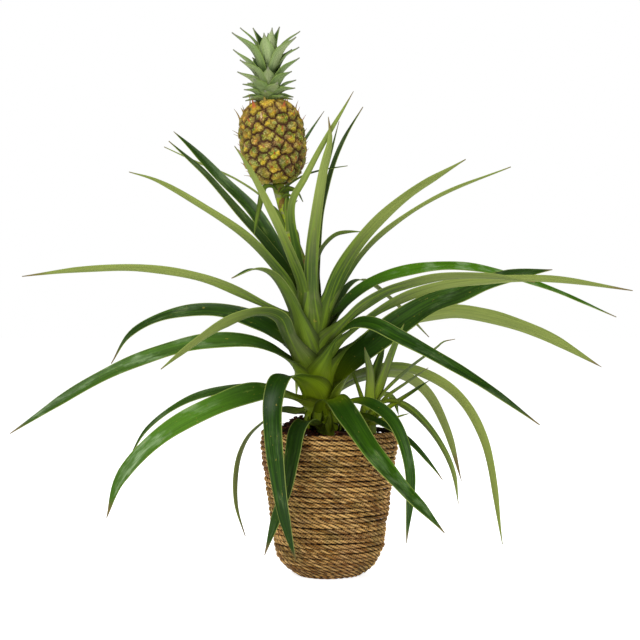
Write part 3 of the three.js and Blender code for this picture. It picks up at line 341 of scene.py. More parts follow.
SOIL_LEVEL = 149
SOIL_RADIUS = 66.2
SOIL_HEAP = 22
SOIL_HEAP_SPOT = (-33, 17)
SOIL_HEAP_SPREAD = 800
SOIL_WAVES = ((0.31, 0.27, 0.9, 0.5), (0.31, -0.27, 1.7, 0.5), (0.2, 0.53, 0, 0.6))
SOIL_DEPTH = 14
SOIL_FOOT = 0.95
CHIP_MARGIN = 4
CHIP_ROUGH = 0.16
STEM_CLEAR = 9
GRAIN_EVERY = 19

# The lights: name, place in metres, share of the key light's power, size in metres.
LAMPS = (
    ("key", (-1.1, -1.3, 1.7), 1, 1.2),
    ("fill", (1.5, -1.2, 0.9), 0.35, 1.4),
    ("back", (0.3, 1.4, 1.5), 0.5, 1.2),
)
LAMP_TARGET = (0, 0, 0.3)
CAMERA_PLACE = (-0.0088, -1.6, 0.279)
CAMERA_LENS = 81.82


class LeafSettings(bpy.types.PropertyGroup):
    thickness: length("Thickness", "Thickness of a blade along its middle", 1.0)
    sheath: length("Sheath", "Height over which a leaf's foot clasps the stem", 62)
    dark: colour("Dark upper side", "Upper side of the older leaves", (26, 54, 4))
    bright: colour("Bright upper side", "Upper side of the leaves that face the light", (76, 124, 16))
    olive: colour("Underside near the foot", "Underside where the leaf leaves the stem", (58, 86, 16))
    pale: colour("Pale underside", "Underside of the open blade", (142, 157, 74))
    foot: colour("Foot", "Yellow-green of the clasping foot", (136, 156, 14))
    edge: colour("Edge", "The thin light line along a blade's edges", (158, 172, 84))
    dry: colour("Dry tip", "A withered tip", (120, 98, 60))
    grey: colour("Grey bloom", "The bloom on the dull leaves", (110, 116, 84))


class FruitSettings(bpy.types.PropertyGroup):
    fruitlets: number("Fruitlets", "Number of eyes on the fruit", 102, 20, 200)
    rise: length("Rise", "Height of a fruitlet over the seams round it", 2.9)
    gold: colour("Gold", "Ripe patches of the rind", (208, 172, 20))
    green: colour("Green", "Unripe patches of the rind", (98, 128, 14))
    khaki: colour("Khaki", "Dull waxy patches of the rind", (148, 144, 94))
    rose: colour("Rose", "Pinkish brown patches of the rind", (146, 92, 58))
    seam: colour("Seam", "The dark seams between fruitlets", (58, 22, 20))
    bract: colour("Bract", "The dry orange tips of the bracts", (178, 88, 38))


class CrownSettings(bpy.types.PropertyGroup):
    thickness: length("Thickness", "Thickness of a crown leaf", 1.3)
    bloom: colour("Bloom", "Powdery outer side of the crown's leaves", (176, 190, 134))
    green: colour("Green", "Outer side near the foot", (92, 136, 30))
    inner: colour("Inner side", "The side that faces the crown's middle", (36, 60, 10))
    tip: colour("Tip", "The greyish tips", (132, 128, 118))


class BasketSettings(bpy.types.PropertyGroup):
    rows: number("Rope rows", "Rows of rope from base to rim", 30, 10, 60)
    lay: length("Lay", "Length of rope in which its strands turn once", 33)
    straw: colour("Straw", "Light strands", (234, 184, 106))
    brown: colour("Brown", "Ordinary strands", (160, 110, 44))
    umber: colour("Umber", "Dark strands", (96, 56, 32))
    olive: colour("Olive", "Strands that dried green", (120, 106, 34))
    gap: colour("Gap", "The shade between the strands", (34, 18, 8))


class SoilSettings(bpy.types.PropertyGroup):
    chips: number("Bark chips", "Chips of bark on the potting mix", 520, 0, 1500)
    peat: colour("Peat", "The mix between the chips", (36, 22, 16))
    bark: colour("Bark", "The reddish bark", (132, 64, 40))
    grain: colour("Perlite", "The white grains", (236, 230, 222))


class StageSettings(bpy.types.PropertyGroup):
    floor: colour("Floor", "The plain floor", (232, 232, 232))
    glow: FloatProperty(name="Floor glow", description="Light from under the white floor", default=0.8, min=0)
    key: FloatProperty(
        name="Key light", description="Power of the large light", default=34, unit="POWER", min=0
    )
    sky: FloatProperty(name="Room light", description="Strength of the even light", default=0.36, min=0)


SETTINGS = {
    "pineapple_leaf": LeafSettings,
    "pineapple_fruit": FruitSettings,
    "pineapple_crown": CrownSettings,
    "pineapple_basket": BasketSettings,
    "pineapple_soil": SoilSettings,
    "pineapple_stage": StageSettings,
}


def deselect():
    bpy.ops.object.select_all(action="DESELECT")


def pick(*pieces):
    deselect()
    for piece in pieces:
        piece.select_set(True)
    bpy.context.view_layer.objects.active = pieces[0]


def begin(primitive, **sizes):
    """Adds a primitive with everything else deselected."""
    deselect()
    primitive(**sizes)
    return bpy.context.object


def face_outwards():
    """Turns all faces of the piece in edit mode outwards and goes back to object mode."""
    bpy.ops.mesh.select_all(action="SELECT")
    bpy.ops.mesh.normals_make_consistent(inside=False)
    bpy.ops.object.mode_set(mode="OBJECT")


def points_of(piece):
    found = np.empty(len(piece.data.vertices) * 3, np.float32)
    piece.data.vertices.foreach_get("co", found)
    return found.reshape(-1, 3).astype(float)


def put_points(piece, points):
    """Moves a mesh's points, given in millimetres in the plant's frame."""
    piece.data.vertices.foreach_set("co", (np.asarray(points) * MM).astype(np.float32).ravel())
    piece.data.update()


def mark(piece, name, values, domain="POINT"):
    """Writes numbers on a mesh, for its finish to read."""
    values = np.asarray(values, dtype=np.float32)
    vectors = values.ndim == 2
    found = piece.data.attributes.new(name, "FLOAT_VECTOR" if vectors else "FLOAT", domain)
    found.data.foreach_set("vector" if vectors else "value", values.ravel())


def modify(piece, kind, **settings):
    """Adds a modifier to the active piece and applies it."""
    bpy.ops.object.modifier_add(type=kind)
    made = piece.modifiers[-1]
    for name, value in settings.items():
        setattr(made, name, value)
    bpy.ops.object.modifier_apply(modifier=made.name)


def repeat(piece, count):
    """Lays count copies of a modelled piece in one mesh, one after the other."""
    pick(piece)
    modify(piece, "ARRAY", count=count, use_relative_offset=False)


def join(pieces):
    pick(*pieces)
    bpy.ops.object.join()
    return bpy.context.view_layer.objects.active


def settle(piece, name, finish, slot, *nodes, crease=50):
    """Smooths a finished piece up to a crease in degrees, or not at all, names it, gives it its finish
    and puts it on the plant in place of its nodes."""
    pick(piece)
    if crease:
        bpy.ops.object.shade_smooth_by_angle(angle=math.radians(crease))
    bpy.ops.object.transform_apply(location=True, rotation=True, scale=True)
    piece.name = name
    piece.data.name = name
    piece.data.materials.clear()
    piece.data.materials.append(finish)
    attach(piece, "root")
    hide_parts(*nodes)


def ease(value, low, high):
    """0 below low, 1 above high and a smooth rise between."""
    share = np.clip((np.asarray(value, float) - low) / (high - low), 0, 1)
    return share * share * (3 - 2 * share)


def unit(rows):
    return rows / np.linalg.norm(rows, axis=1)[:, None]


def running(steps):
    """The running totals of steps, from nothing."""
    return np.concatenate([[0], np.cumsum(steps)])


def heading(azimuth):
    """The level direction at an azimuth in degrees."""
    turn = math.radians(azimuth)
    return np.array((math.cos(turn), math.sin(turn), 0.0))


def smooth_path(points, shares):
    """Places, directions and the length of a smooth curve through points, at shares of its length."""
    knots = np.asarray(points, float)
    row = np.vstack([2 * knots[0] - knots[1], knots, 2 * knots[-1] - knots[-2]])
    u = np.linspace(0, 1, PATH_STEPS, endpoint=False)[:, None]
    curve = []
    for a, b, c, d in zip(row, row[1:], row[2:], row[3:]):
        ab, bc, cd = (max(np.linalg.norm(q - p) ** 0.5, SHORTEST_SPAN) for p, q in ((a, b), (b, c), (c, d)))
        leave = ((b - a) / ab - (c - a) / (ab + bc) + (c - b) / bc) * bc
        enter = ((c - b) / bc - (d - b) / (bc + cd) + (d - c) / cd) * bc
        squared = 3 * (c - b) - 2 * leave - enter
        cubed = 2 * (b - c) + leave + enter
        curve.append(b + leave * u + squared * u**2 + cubed * u**3)
    curve = np.vstack([*curve, knots[-1:]])
    run = running(np.linalg.norm(np.diff(curve, axis=0), axis=1))
    at = np.asarray(shares) * run[-1]
    slopes = np.gradient(curve, run, axis=0)
    places, ways = (
        np.column_stack([np.interp(at, run, table[:, k]) for k in range(3)]) for table in (curve, slopes)
    )
    return places, unit(ways), run[-1]


def leaf_taper(t):
    """A long leaf's share of its full width: even, then drawn to a fine point."""
    return np.minimum(1, 1.17 * (1 - t) ** 0.45) * np.minimum(1, (1 - t) / 0.16) ** 0.5


def blade(points, azimuth, width, look, roll=0, sheath=None, thickness=0.8, taper=leaf_taper,
          stations=56, across=6, open_angle=GUTTER_ANGLE, seed=0.0):
    """A gutter-shaped blade along a path: a grid bent to its form and given its thickness.
    sheath is (height, half angle, radius) of the part that clasps a stem."""
    piece = begin(bpy.ops.mesh.primitive_grid_add, x_subdivisions=across, y_subdivisions=stations, size=2)
    grid = points_of(piece)
    s = -grid[:, 0]
    row = np.rint((grid[:, 1] + 1) / 2 * stations).astype(int)
    shares = np.linspace(0, 1, stations + 1) ** STATION_CROWDING
    centre, along, run = smooth_path(points, shares)
    turn = math.radians(azimuth)
    level = np.array((-math.sin(turn), math.cos(turn), 0.0))
    side = unit(level - along * (along @ level)[:, None])
    up = np.cross(along, side)
    if isinstance(roll, tuple):
        twist = np.radians(np.interp(shares, *zip(*roll)))
    else:
        twist = math.radians(roll) * ease(shares, 0, ROLL_SHARE)
    side, up = (
        side * np.cos(twist)[:, None] + up * np.sin(twist)[:, None],
        up * np.cos(twist)[:, None] - side * np.sin(twist)[:, None],
    )
    height = shares * run
    half = np.maximum(width / 2 * taper(shares), LEAST_HALF_WIDTH)
    if sheath:
        reach, wrap, radius = sheath
        hold = 1 - ease(height, FULL_HOLD * reach, reach)
        half = half + (radius * wrap - half) * hold
        bend = open_angle + (wrap - open_angle) * hold
    else:
        bend = open_angle + FOOT_ANGLE * np.exp(-((shares / FOOT_SHARE) ** 2))
    round_radius = half / bend
    angle = s * np.minimum(bend, WIDEST_ANGLE)[row]
    ripple = RIPPLE_SHARE * half * np.sin(height / RIPPLE_LENGTH + seed) * ease(height, *RIPPLE_START)
    lift = round_radius[row] * (1 - np.cos(angle)) + ripple[row] * s
    beside = round_radius[row] * np.sin(angle)
    put_points(piece, centre[row] + side[row] * beside[:, None] + up[row] * lift[:, None])
    mark(piece, "blade_place", np.column_stack([s, shares[row], height[row]]))
    grain = (s * width / 2 + GRAIN_SHIFT * seed, height[row], np.full(len(s), seed))
    mark(piece, "blade_grain", np.column_stack(grain))
    mark(piece, "blade_look", np.tile(look, (len(s), 1)))
    thick = piece.vertex_groups.new(name="thick")
    for weight, chosen in ((1.0, np.abs(s) < MARGIN), (MARGIN_THICKNESS, np.abs(s) >= MARGIN)):
        thick.add([int(i) for i in np.flatnonzero(chosen)], weight, "REPLACE")
    # Three empty material slots tell the upper side, the underside and the rim apart while it thickens.
    for _ in range(3):
        piece.data.materials.append(None)
    modify(piece, "SOLIDIFY", thickness=thickness * MM, offset=-1, vertex_group="thick",
           thickness_vertex_group=THINNEST_SHARE, material_offset=1, material_offset_rim=2)
    which = np.empty(len(piece.data.polygons), np.int32)
    piece.data.polygons.foreach_get("material_index", which)
    mark(piece, "blade_side", np.array((0.0, 1.0, 0.5))[which], "FACE")
    piece.data.polygons.foreach_set("material_index", np.zeros(len(which), np.int32))
    piece.data.materials.clear()
    piece.vertex_groups.clear()
    return piece


def drawn_tube(rows, sides, look, rounds):
    """A round stem over rows of [x, y, z, radius]: a disc drawn out ring by ring and rounded."""
    place = tuple(c * MM for c in rows[0][:3])
    piece = begin(bpy.ops.mesh.primitive_circle_add, vertices=sides, radius=rows[0][3] * MM,
                  fill_type="NGON", location=place)
    bpy.ops.object.transform_apply(location=True, rotation=False, scale=False)
    bpy.ops.object.mode_set(mode="EDIT")
    bpy.ops.mesh.select_all(action="SELECT")
    for before, after in zip(rows, rows[1:]):
        step = tuple((b - a) * MM for a, b in zip(before[:3], after[:3]))
        bpy.ops.mesh.extrude_region_move(TRANSFORM_OT_translate={"value": step})
        grow = after[3] / before[3]
        bpy.ops.transform.resize(value=(grow, grow, grow), center_override=tuple(c * MM for c in after[:3]))
    face_outwards()
    modify(piece, "SUBSURF", levels=rounds, render_levels=rounds)
    spots = points_of(piece) / MM
    count = len(spots)
    height = spots[:, 2] - rows[0][2]
    mark(piece, "blade_place", np.column_stack([np.zeros(count), np.full(count, STEM_SHARE), height]))
    mark(piece, "blade_grain", spots[:, (0, 2, 1)])
    mark(piece, "blade_look", np.tile(look, (count, 1)))
    mark(piece, "blade_side", np.ones(len(piece.data.polygons)), "FACE")
    return piece


class Graph:
    """A shader node tree under construction."""

    def __init__(self, tree):
        self.tree = tree
        self.nodes = tree.nodes

    def add(self, kind, **settings):
        node = self.nodes.new(kind)
        for name, value in settings.items():
            setattr(node, name, value)
        return node

    def feed(self, socket, value):
        """Sets a socket to a number or colour, or wires another node's output to it."""
        if isinstance(value, bpy.types.NodeSocket):
            self.tree.links.new(value, socket)
        elif isinstance(value, (int, float)):
            socket.default_value = value
        else:
            socket.default_value = (*value, 1)

    def math(self, operation, *values, clamp=False):
        node = self.add("ShaderNodeMath", operation=operation, use_clamp=clamp)
        for socket, value in zip(node.inputs, values):
            self.feed(socket, value)
        return node.outputs[0]

    def times(self, product, *values):
        for value in values:
            product = self.math("MULTIPLY", product, value)
        return product

    def vary(self, value, pattern, amount, clamp=True):
        """A value that a pattern round one half moves up and down."""
        return self.math("MULTIPLY_ADD", self.math("SUBTRACT", pattern, 0.5), amount, value, clamp=clamp)

    def ramp(self, value, low, high, start=0, end=1):
        """A smooth change from start to end as value goes from low to high."""
        node = self.add("ShaderNodeMapRange", interpolation_type="SMOOTHSTEP")
        for socket, given in zip(node.inputs[:5], (value, low, high, start, end)):
            self.feed(socket, given)
        return node.outputs[0]

    def mix(self, share, first, second, blend="MIX"):
        node = self.add("ShaderNodeMix", data_type="RGBA", blend_type=blend)
        for socket, given in zip((node.inputs[0], node.inputs[6], node.inputs[7]), (share, first, second)):
            self.feed(socket, given)
        return node.outputs[2]

    def coats(self, ground, *coats):
        """A ground colour under coats of other colours, each a (share, colour)."""
        for share, coat in coats:
            ground = self.mix(share, ground, coat)
        return ground

    def shaded(self, share, skin, shade):
        """A colour made darker or lighter by a number round one."""
        grey = self.add("ShaderNodeCombineXYZ")
        for socket in grey.inputs:
            self.feed(socket, shade)
        return self.mix(share, skin, grey.outputs[0], "MULTIPLY")

    def noise(self, place, scale, detail, roughness=0.55):
        node = self.add("ShaderNodeTexNoise")
        self.feed(node.inputs["Vector"], place)
        node.inputs["Scale"].default_value = scale
        node.inputs["Detail"].default_value = detail
        node.inputs["Roughness"].default_value = roughness
        return node.outputs[0]

    def stretch(self, place, *factors):
        node = self.add("ShaderNodeVectorMath", operation="MULTIPLY")
        self.feed(node.inputs[0], place)
        node.inputs[1].default_value = factors
        return node.outputs[0]

    def scaled(self, place, factor):
        node = self.add("ShaderNodeVectorMath", operation="SCALE")
        self.feed(node.inputs[0], place)
        self.feed(node.inputs["Scale"], factor)
        return node.outputs[0]

    def place(self):
        return self.add("ShaderNodeTexCoord").outputs["Object"]

    def number(self, name):
        return self.add("ShaderNodeAttribute", attribute_name=name).outputs["Fac"]

    def vector(self, name):
        return self.add("ShaderNodeAttribute", attribute_name=name).outputs["Vector"]

    def parts(self, vector):
        node = self.add("ShaderNodeSeparateXYZ")
        self.feed(node.inputs[0], vector)
        return node.outputs

    def group(self, name, **inputs):
        """One of the shared groups, built when it is first asked for."""
        node = self.add("ShaderNodeGroup")
        node.node_tree = bpy.data.node_groups.get(name) or GROUPS[name]()
        for socket, value in inputs.items():
            self.feed(node.inputs[socket], value)
        return node.outputs


class Finish(Graph):
    """A material under construction, round its shader."""

    def __init__(self, name, roughness, specular):
        self.material = bpy.data.materials.new(name)
        self.material.use_nodes = True
        super().__init__(self.material.node_tree)
        self.shader = self.nodes["Principled BSDF"].inputs
        self.shader["Roughness"].default_value = roughness
        self.shader["Specular IOR Level"].default_value = specular

    def done(self, skin, relief=None, millimetres=0.0, strength=1.0, roughness=None):
        """Wires the colour, a fine relief and an uneven roughness to the shader."""
        self.feed(self.shader["Base Color"], skin)
        if roughness is not None:
            self.feed(self.shader["Roughness"], roughness)
        if relief is not None:
            bump = self.add("ShaderNodeBump")
            bump.inputs["Strength"].default_value = strength
            bump.inputs["Distance"].default_value = millimetres * MM
            self.feed(bump.inputs["Height"], relief)
            self.feed(self.shader["Normal"], bump.outputs["Normal"])
        return self.material


def new_group(name, inputs, outputs):
    """A shader node group that takes (name, kind, starting value) and puts out numbers by name."""
    tree = bpy.data.node_groups.new(name, "ShaderNodeTree")
    for socket, kind, value in inputs:
        made = tree.interface.new_socket(socket, in_out="INPUT", socket_type=kind)
        made.default_value = value
    for socket in outputs:
        tree.interface.new_socket(socket, in_out="OUTPUT", socket_type="NodeSocketFloat")
    graph = Graph(tree)
    return graph, graph.add("NodeGroupInput").outputs, graph.add("NodeGroupOutput").inputs


def fibres_group():
    """Streaks that run along a blade or a strand, with faint patches over them."""
    graph, given, out = new_group(
        "Fibres",
        (("Place", "NodeSocketVector", (0, 0, 0)), ("Fineness", "NodeSocketFloat", 1.0)),
        ("Streaks", "Bands", "Patches"),
    )
    place = graph.scaled(given["Place"], given["Fineness"])
    for socket, factors, detail, roughness in (
        ("Streaks", (2.2, 0.025, 0.3), 4, 0.6),
        ("Bands", (0.42, 0.012, 0.3), 2, 0.5),
        ("Patches", (0.07, 0.03, 0.3), 3, 0.6),
    ):
        graph.feed(out[socket], graph.noise(graph.stretch(place, *factors), 1.0, detail, roughness))
    return graph.tree


def mottle_group():
    """Uneven patches at three sizes, for rind, stalk and soil."""
    graph, given, out = new_group(
        "Mottle", (("Size", "NodeSocketFloat", 0.01),), ("Broad", "Middle", "Fine")
    )
    place = graph.scaled(graph.place(), graph.math("DIVIDE", 1.0, given["Size"]))
    for socket, scale, detail in (("Broad", 0.35, 2), ("Middle", 1.0, 3), ("Fine", 4.5, 3)):
        graph.feed(out[socket], graph.noise(place, scale, detail))
    return graph.tree


GROUPS = {"Fibres": fibres_group, "Mottle": mottle_group}


def leaf_finish(settings):
    """Glossy green above, powdery and paler below, yellow-green at the foot, dry at the tip. A painted sheen
    lies on the upper side, with painted shade near its foot and along the edges of the overlapping sheaths.
    """
    graph = Finish("leaf skin", 0.5, 0.17)
    s, t, height = graph.parts(graph.vector("blade_place"))
    tone, grey, dry = graph.parts(graph.vector("blade_look"))
    place = graph.vector("blade_grain")
    under = graph.number("blade_side")
    streaks, bands, patches = graph.group("Fibres", Place=place, Fineness=1.0)
    across = graph.math("ABSOLUTE", s)

    worn = graph.times(graph.ramp(patches, 0.6, 0.72), graph.ramp(streaks, 0.5, 0.62))
    # A painted highlight: a pale blue-green sheen on the upper side, where a soft lamp would reflect.
    painted_sheen = graph.times(
        graph.ramp(patches, 0.48, 0.66), graph.ramp(height, 90, 200, 0, 0.6),
        graph.ramp(streaks, 0.4, 0.6, 0.4, 1), graph.ramp(tone, 0.1, 0.7, 0.2, 1),
    )
    above = graph.coats(
        settings.dark,
        (graph.vary(tone, bands, 1.5), settings.bright),
        (graph.times(grey, 0.6), settings.grey),
        # Painted shade: the upper side darkens towards the foot, where the inner leaf bases lie in shade.
        (graph.ramp(height, 165, 60, 0, 0.85), settings.dark),
        (graph.times(worn, 0.45), settings.edge),
        (graph.ramp(t, 0.55, 0.9, 0, 0.4), settings.dark),
        # The painted sheen, a pale painted highlight over the upper side.
        (painted_sheen, paint(156, 182, 134)),
    )

    open_part = graph.ramp(height, 70, 180, 0, 0.85)
    light = graph.math("ADD", open_part, graph.times(graph.math("SUBTRACT", tone, 0.45), 0.5), clamp=True)
    bloom = graph.times(graph.ramp(patches, 0.5, 0.66), graph.ramp(height, 190, 60, 0, 0.45))
    fresh = graph.times(graph.ramp(bands, 0.5, 0.6, 0, 0.5), graph.ramp(height, 190, 100))
    below = graph.coats(
        settings.olive,
        (graph.vary(light, bands, 0.9), settings.pale),
        (graph.times(grey, 0.75), settings.grey),
        (bloom, paint(104, 108, 72)),
        (fresh, paint(112, 144, 22)),
    )

    level = graph.parts(graph.place())[2]
    foot = graph.times(graph.ramp(height, 14, 75, 0.75, 0), graph.ramp(level, 0.2, 0.25, 1, 0.3))
    # tuck is painted shade: a dark line along the margins of the clasping sheaths, where one overlaps the
    # next.
    tuck = graph.times(graph.ramp(across, 0.55, 1), graph.ramp(height, 90, 30, 0, 0.62))
    skin = graph.coats(graph.mix(under, above, below), (foot, settings.foot), (tuck, paint(26, 34, 6)))
    skin = graph.shaded(0.85, skin, graph.ramp(streaks, 0.25, 0.75, 0.76, 1.2))
    rim = graph.times(graph.ramp(across, 0.9, 0.99), graph.ramp(height, 50, 90, 0, 0.55))
    specks = graph.ramp(graph.noise(graph.stretch(place, 0.35, 0.16, 1.0), 1.0, 2, 0.7), 0.69, 0.74)
    tip = graph.math("ADD", t, graph.times(graph.math("SUBTRACT", dry, 1.0), 0.12))
    withered = graph.ramp(graph.vary(tip, patches, 0.08, clamp=False), 0.87, 0.93)
    skin = graph.coats(
        skin,
        (rim, settings.edge),
        (graph.times(specks, 0.5), paint(168, 150, 62)),
        (graph.times(withered, 0.85), settings.dry),
    )
    dull = graph.math("MULTIPLY_ADD", under, 0.2, 0.3)
    dull = graph.math("ADD", dull, graph.times(grey, 0.15))
    return graph.done(skin, streaks, 0.25, 0.5, graph.math("MULTIPLY_ADD", bands, 0.12, dull))


def build_leaf(row, settings, seed):
    _, azimuth, root, width, roll, look, points = row
    x, radius = stem_axis(root)
    out, side, _ = heading(azimuth)
    low_reach, high_reach = radius + FOOT_CLEAR, radius + FOOT_LEAN
    low = (x + low_reach * out, low_reach * side, root - FOOT_RUN)
    high = (x - FOOT_SHIFT + high_reach * out, high_reach * side, root + FOOT_RUN)
    path = [p if len(p) == 3 else (ROSETTE_X + p[0] * out, p[0] * side, p[1]) for p in points]
    wrap = WIDE_WRAP if width > NARROW_LEAF else NARROW_WRAP
    short = width < NARROW_LEAF or root < LOW_ROOT
    reach = settings.sheath / MM * (SHORT_SHEATH if short else 1.0)
    return blade([low, high, *path], azimuth, width, look, roll, (reach, wrap, radius + SHEATH_CLEAR),
                 settings.thickness / MM, across=8, seed=seed)


def stem_axis(z):
    """How far the stem's middle lies along x at a height, and its radius there."""
    rows = np.array(STEM_RINGS, float)
    return tuple(np.interp(z, rows[:, 2], rows[:, k]) for k in (0, 3))


class PINEAPPLE_OT_leaves(bpy.types.Operator):
    """Grow the long leaves of the rosette"""

    bl_idname = "pineapple.leaves"
    bl_label = "Leaves"

    def execute(self, context):
        settings = context.scene.pineapple_leaf
        finish = leaf_finish(settings)
        for number, row in enumerate(LEAVES):
            leaf = build_leaf(row, settings, number * LEAF_SEED)
            settle(leaf, row[0].replace("leaf_", "blade_"), finish, "leaf", row[0])
        return {"FINISHED"}


def stalk_finish():
    """Yellow-green with grey scurf and brown scars."""
    graph = Finish("stalk skin", 0.5, 0.3)
    broad, middle, fine = graph.group("Mottle", Size=0.008)
    skin = graph.coats(
        paint(150, 168, 30),
        (graph.ramp(broad, 0.4, 0.62), paint(98, 114, 20)),
        (graph.ramp(middle, 0.54, 0.6, 0, 0.7), paint(132, 130, 100)),
        (graph.ramp(middle, 0.44, 0.38, 0, 0.8), paint(116, 70, 32)),
        (graph.ramp(fine, 0.62, 0.7, 0, 0.7), paint(70, 46, 24)),
    )
    return graph.done(skin, fine, 0.4, 0.6)


def old_base_taper(t):
    """A blunt stub."""
    return np.sqrt(np.maximum(1 - np.maximum(0, (t - 0.35) / 0.65) ** 2.2, 0))


class PINEAPPLE_OT_stem(bpy.types.Operator):
    """Draw the stem between the leaf bases, and the fruit's stalk with its bracts"""

    bl_idname = "pineapple.stem"
    bl_label = "Stem and stalk"

    def execute(self, context):
        parts = [drawn_tube(STEM_RINGS, 20, (0.5, 0.2, 0.0), 1)]
        for number, (azimuth, width, points) in enumerate(OLD_BASES):
            parts.append(blade(points, azimuth, width, (0.8, 0.3, 0.3), taper=old_base_taper, stations=20,
                               open_angle=0.8, seed=120 + number))
        finish = bpy.data.materials["leaf skin"]
        settle(join(parts), "main_stem", finish, "stem", "stem")

        core = drawn_tube(STALK_RINGS, 20, (0.85, 0.1, 0.0), 2)
        settle(core, "stalk_core", stalk_finish(), "fruit_stalk", "fruit_stalk")

        bracts = []
        for number, (azimuth, width, roll, look, points) in enumerate(STALK_BRACTS):
            bracts.append(blade(points, azimuth, width, look, roll, stations=24, seed=40 + number))
        heights, middles = [row[2] for row in STALK_RINGS], [row[0] for row in STALK_RINGS]
        for azimuth, foot, out, width in SCALE_LEAVES:
            way = heading(azimuth)
            start = np.array((np.interp(foot, heights, middles), 0, foot)) + way * SCALE_FOOT
            points = [start + way * reach + (0, 0, rise * out) for reach, rise in SCALE_CURVE]
            bracts.append(blade(points, azimuth, width, (0.7, 0.3, 0.6), stations=14, open_angle=0.9,
                                seed=azimuth))
        settle(join(bracts), "stalk_bracts", finish, "fruit_stalk", "fruit_stalk")
        return {"FINISHED"}


class PINEAPPLE_OT_side_shoot(bpy.types.Operator):
    """Grow the side shoot with its ten leaves"""

    bl_idname = "pineapple.side_shoot"
    bl_label = "Side shoot"

    def execute(self, context):
        shoot = [drawn_tube(SHOOT_RINGS, 16, (0.8, 0.5, 0.0), 1)]
        for number, (azimuth, width, roll, look, points) in enumerate(SHOOT_LEAVES):
            sheath = (SHOOT_SHEATH, SHOOT_WRAP, SHOOT_RADIUS - SHOOT_NESTING * number)
            shoot.append(blade(points, azimuth, width, look, roll, sheath, stations=36, open_angle=0.5,
                               seed=60 + number))
        settle(join(shoot), "side_shoot", bpy.data.materials["leaf skin"], "leaf", "offshoot")
        return {"FINISHED"}


FRUIT_LENGTH = float(np.linalg.norm(FRUIT_TOP - FRUIT_BASE))
FRUIT_AXIS = (FRUIT_TOP - FRUIT_BASE) / np.linalg.norm(FRUIT_TOP - FRUIT_BASE)
FRUIT_ACROSS = np.array((1.0, 0, 0)) - FRUIT_AXIS * FRUIT_AXIS[0]
FRUIT_ACROSS /= np.linalg.norm(FRUIT_ACROSS)
FRUIT_DEEP = np.cross(FRUIT_AXIS, FRUIT_ACROSS)


def fruit_radius(along):
    middle = FRUIT_LENGTH / 2
    off = np.abs(along - middle) / (middle + FRUIT_END_SPARE)
    fullness = np.where(along > middle, FRUIT_SHOULDER_FULLNESS, FRUIT_FULLNESS)
    return FRUIT_RADIUS * np.sqrt(1 - off**fullness)


def out_of_fruit(turn):
    """The direction straight out of the fruit at a turn round its axis."""
    turn = np.asarray(turn, float)[..., None]
    return FRUIT_ACROSS * np.cos(turn) + FRUIT_DEEP * np.sin(turn)


def on_fruit(radius, turn, along):
    radius, along = (np.asarray(v, float)[..., None] for v in (radius, along))
    return FRUIT_BASE + FRUIT_AXIS * along + out_of_fruit(turn) * radius


def fruitlets(count):
    """Feet, outward, across and upward directions of the fruitlets, and their places along the fruit."""
    slices = (np.arange(FRUIT_SLICES) + 0.5) / FRUIT_SLICES * FRUIT_LENGTH
    area = running(fruit_radius(slices))
    wanted = area[-1] * (np.arange(count) + 0.5) / count
    along = FRUIT_LENGTH * np.searchsorted(area, wanted) / FRUIT_SLICES
    turn = np.arange(count) * FRUITLET_TURN + FRUITLET_START
    outward = out_of_fruit(turn)
    slope = (fruit_radius(np.minimum(along + 1, FRUIT_LENGTH)) - fruit_radius(np.maximum(along - 1, 0))) / 2
    normal = unit(outward - FRUIT_AXIS * slope[:, None])
    across = np.cross(FRUIT_AXIS, outward)
    upward = np.cross(normal, across)
    off = np.random.default_rng(41).uniform(-FRUITLET_STRAY, FRUITLET_STRAY, (2, count, 1))
    feet = on_fruit(fruit_radius(along), turn, along) + across * off[0] + upward * off[1]
    return feet, normal, across, upward, along


def eye_sectors(reach, angle):
    """Which of an eye's scales each point lies on, and how far it lies from the fold beside it.
    Four narrow scales lie side by side, and the broad one of the bract below them."""
    sector = np.where(angle >= BRACT_START, BRACT_SCALE, angle // SCALE_SPAN).astype(int)
    on_bract = sector == BRACT_SCALE
    start = np.where(on_bract, angle - BRACT_START, angle % SCALE_SPAN)
    span = np.where(on_bract, 360 - BRACT_START, SCALE_SPAN)
    return sector, reach * np.sin(np.radians(np.minimum(np.minimum(start, span - start), 90)))


def fruit_finish(settings):
    """Gold and green scales with waxy and rosy ones among them, dark seams and painted pale glints."""
    graph = Finish("rind", 0.45, 0.2)
    edge, reach, crease = graph.parts(graph.vector("eye"))
    ripe, waxy, rosy = graph.parts(graph.vector("eye_tint"))
    broad, middle, fine = graph.group("Mottle", Size=0.0046)
    border = graph.math("ADD", edge, graph.times(graph.math("SUBTRACT", fine, 0.5), 0.34))
    skin = graph.coats(
        settings.green,
        (graph.vary(ripe, middle, 2.0), settings.gold),
        (graph.times(waxy, graph.ramp(fine, 0.3, 0.62)), settings.khaki),
        (graph.times(rosy, graph.ramp(middle, 0.35, 0.6)), settings.rose),
        (graph.times(graph.ramp(reach, 4.2, 0.8), graph.ramp(broad, 0.54, 0.62, 0, 0.8)), settings.bract),
        # Painted highlights: small pale glints scattered over the rind.
        (graph.ramp(fine, 0.54, 0.66, 0, 0.75), paint(228, 214, 120)),
        (graph.ramp(fine, 0.45, 0.33, 0, 0.75), paint(74, 62, 20)),
        (graph.times(crease, 0.5), settings.seam),
        (graph.ramp(border, 0.21, 0.08), settings.seam),
        (graph.ramp(border, 0.5, 0.16, 0, 0.6), paint(88, 58, 28)),
    )
    skin = graph.shaded(1.0, skin, graph.number("eye_shade"))
    return graph.done(skin, fine, 0.8, 0.9, graph.ramp(fine, 0.2, 0.8, 0.34, 0.6))


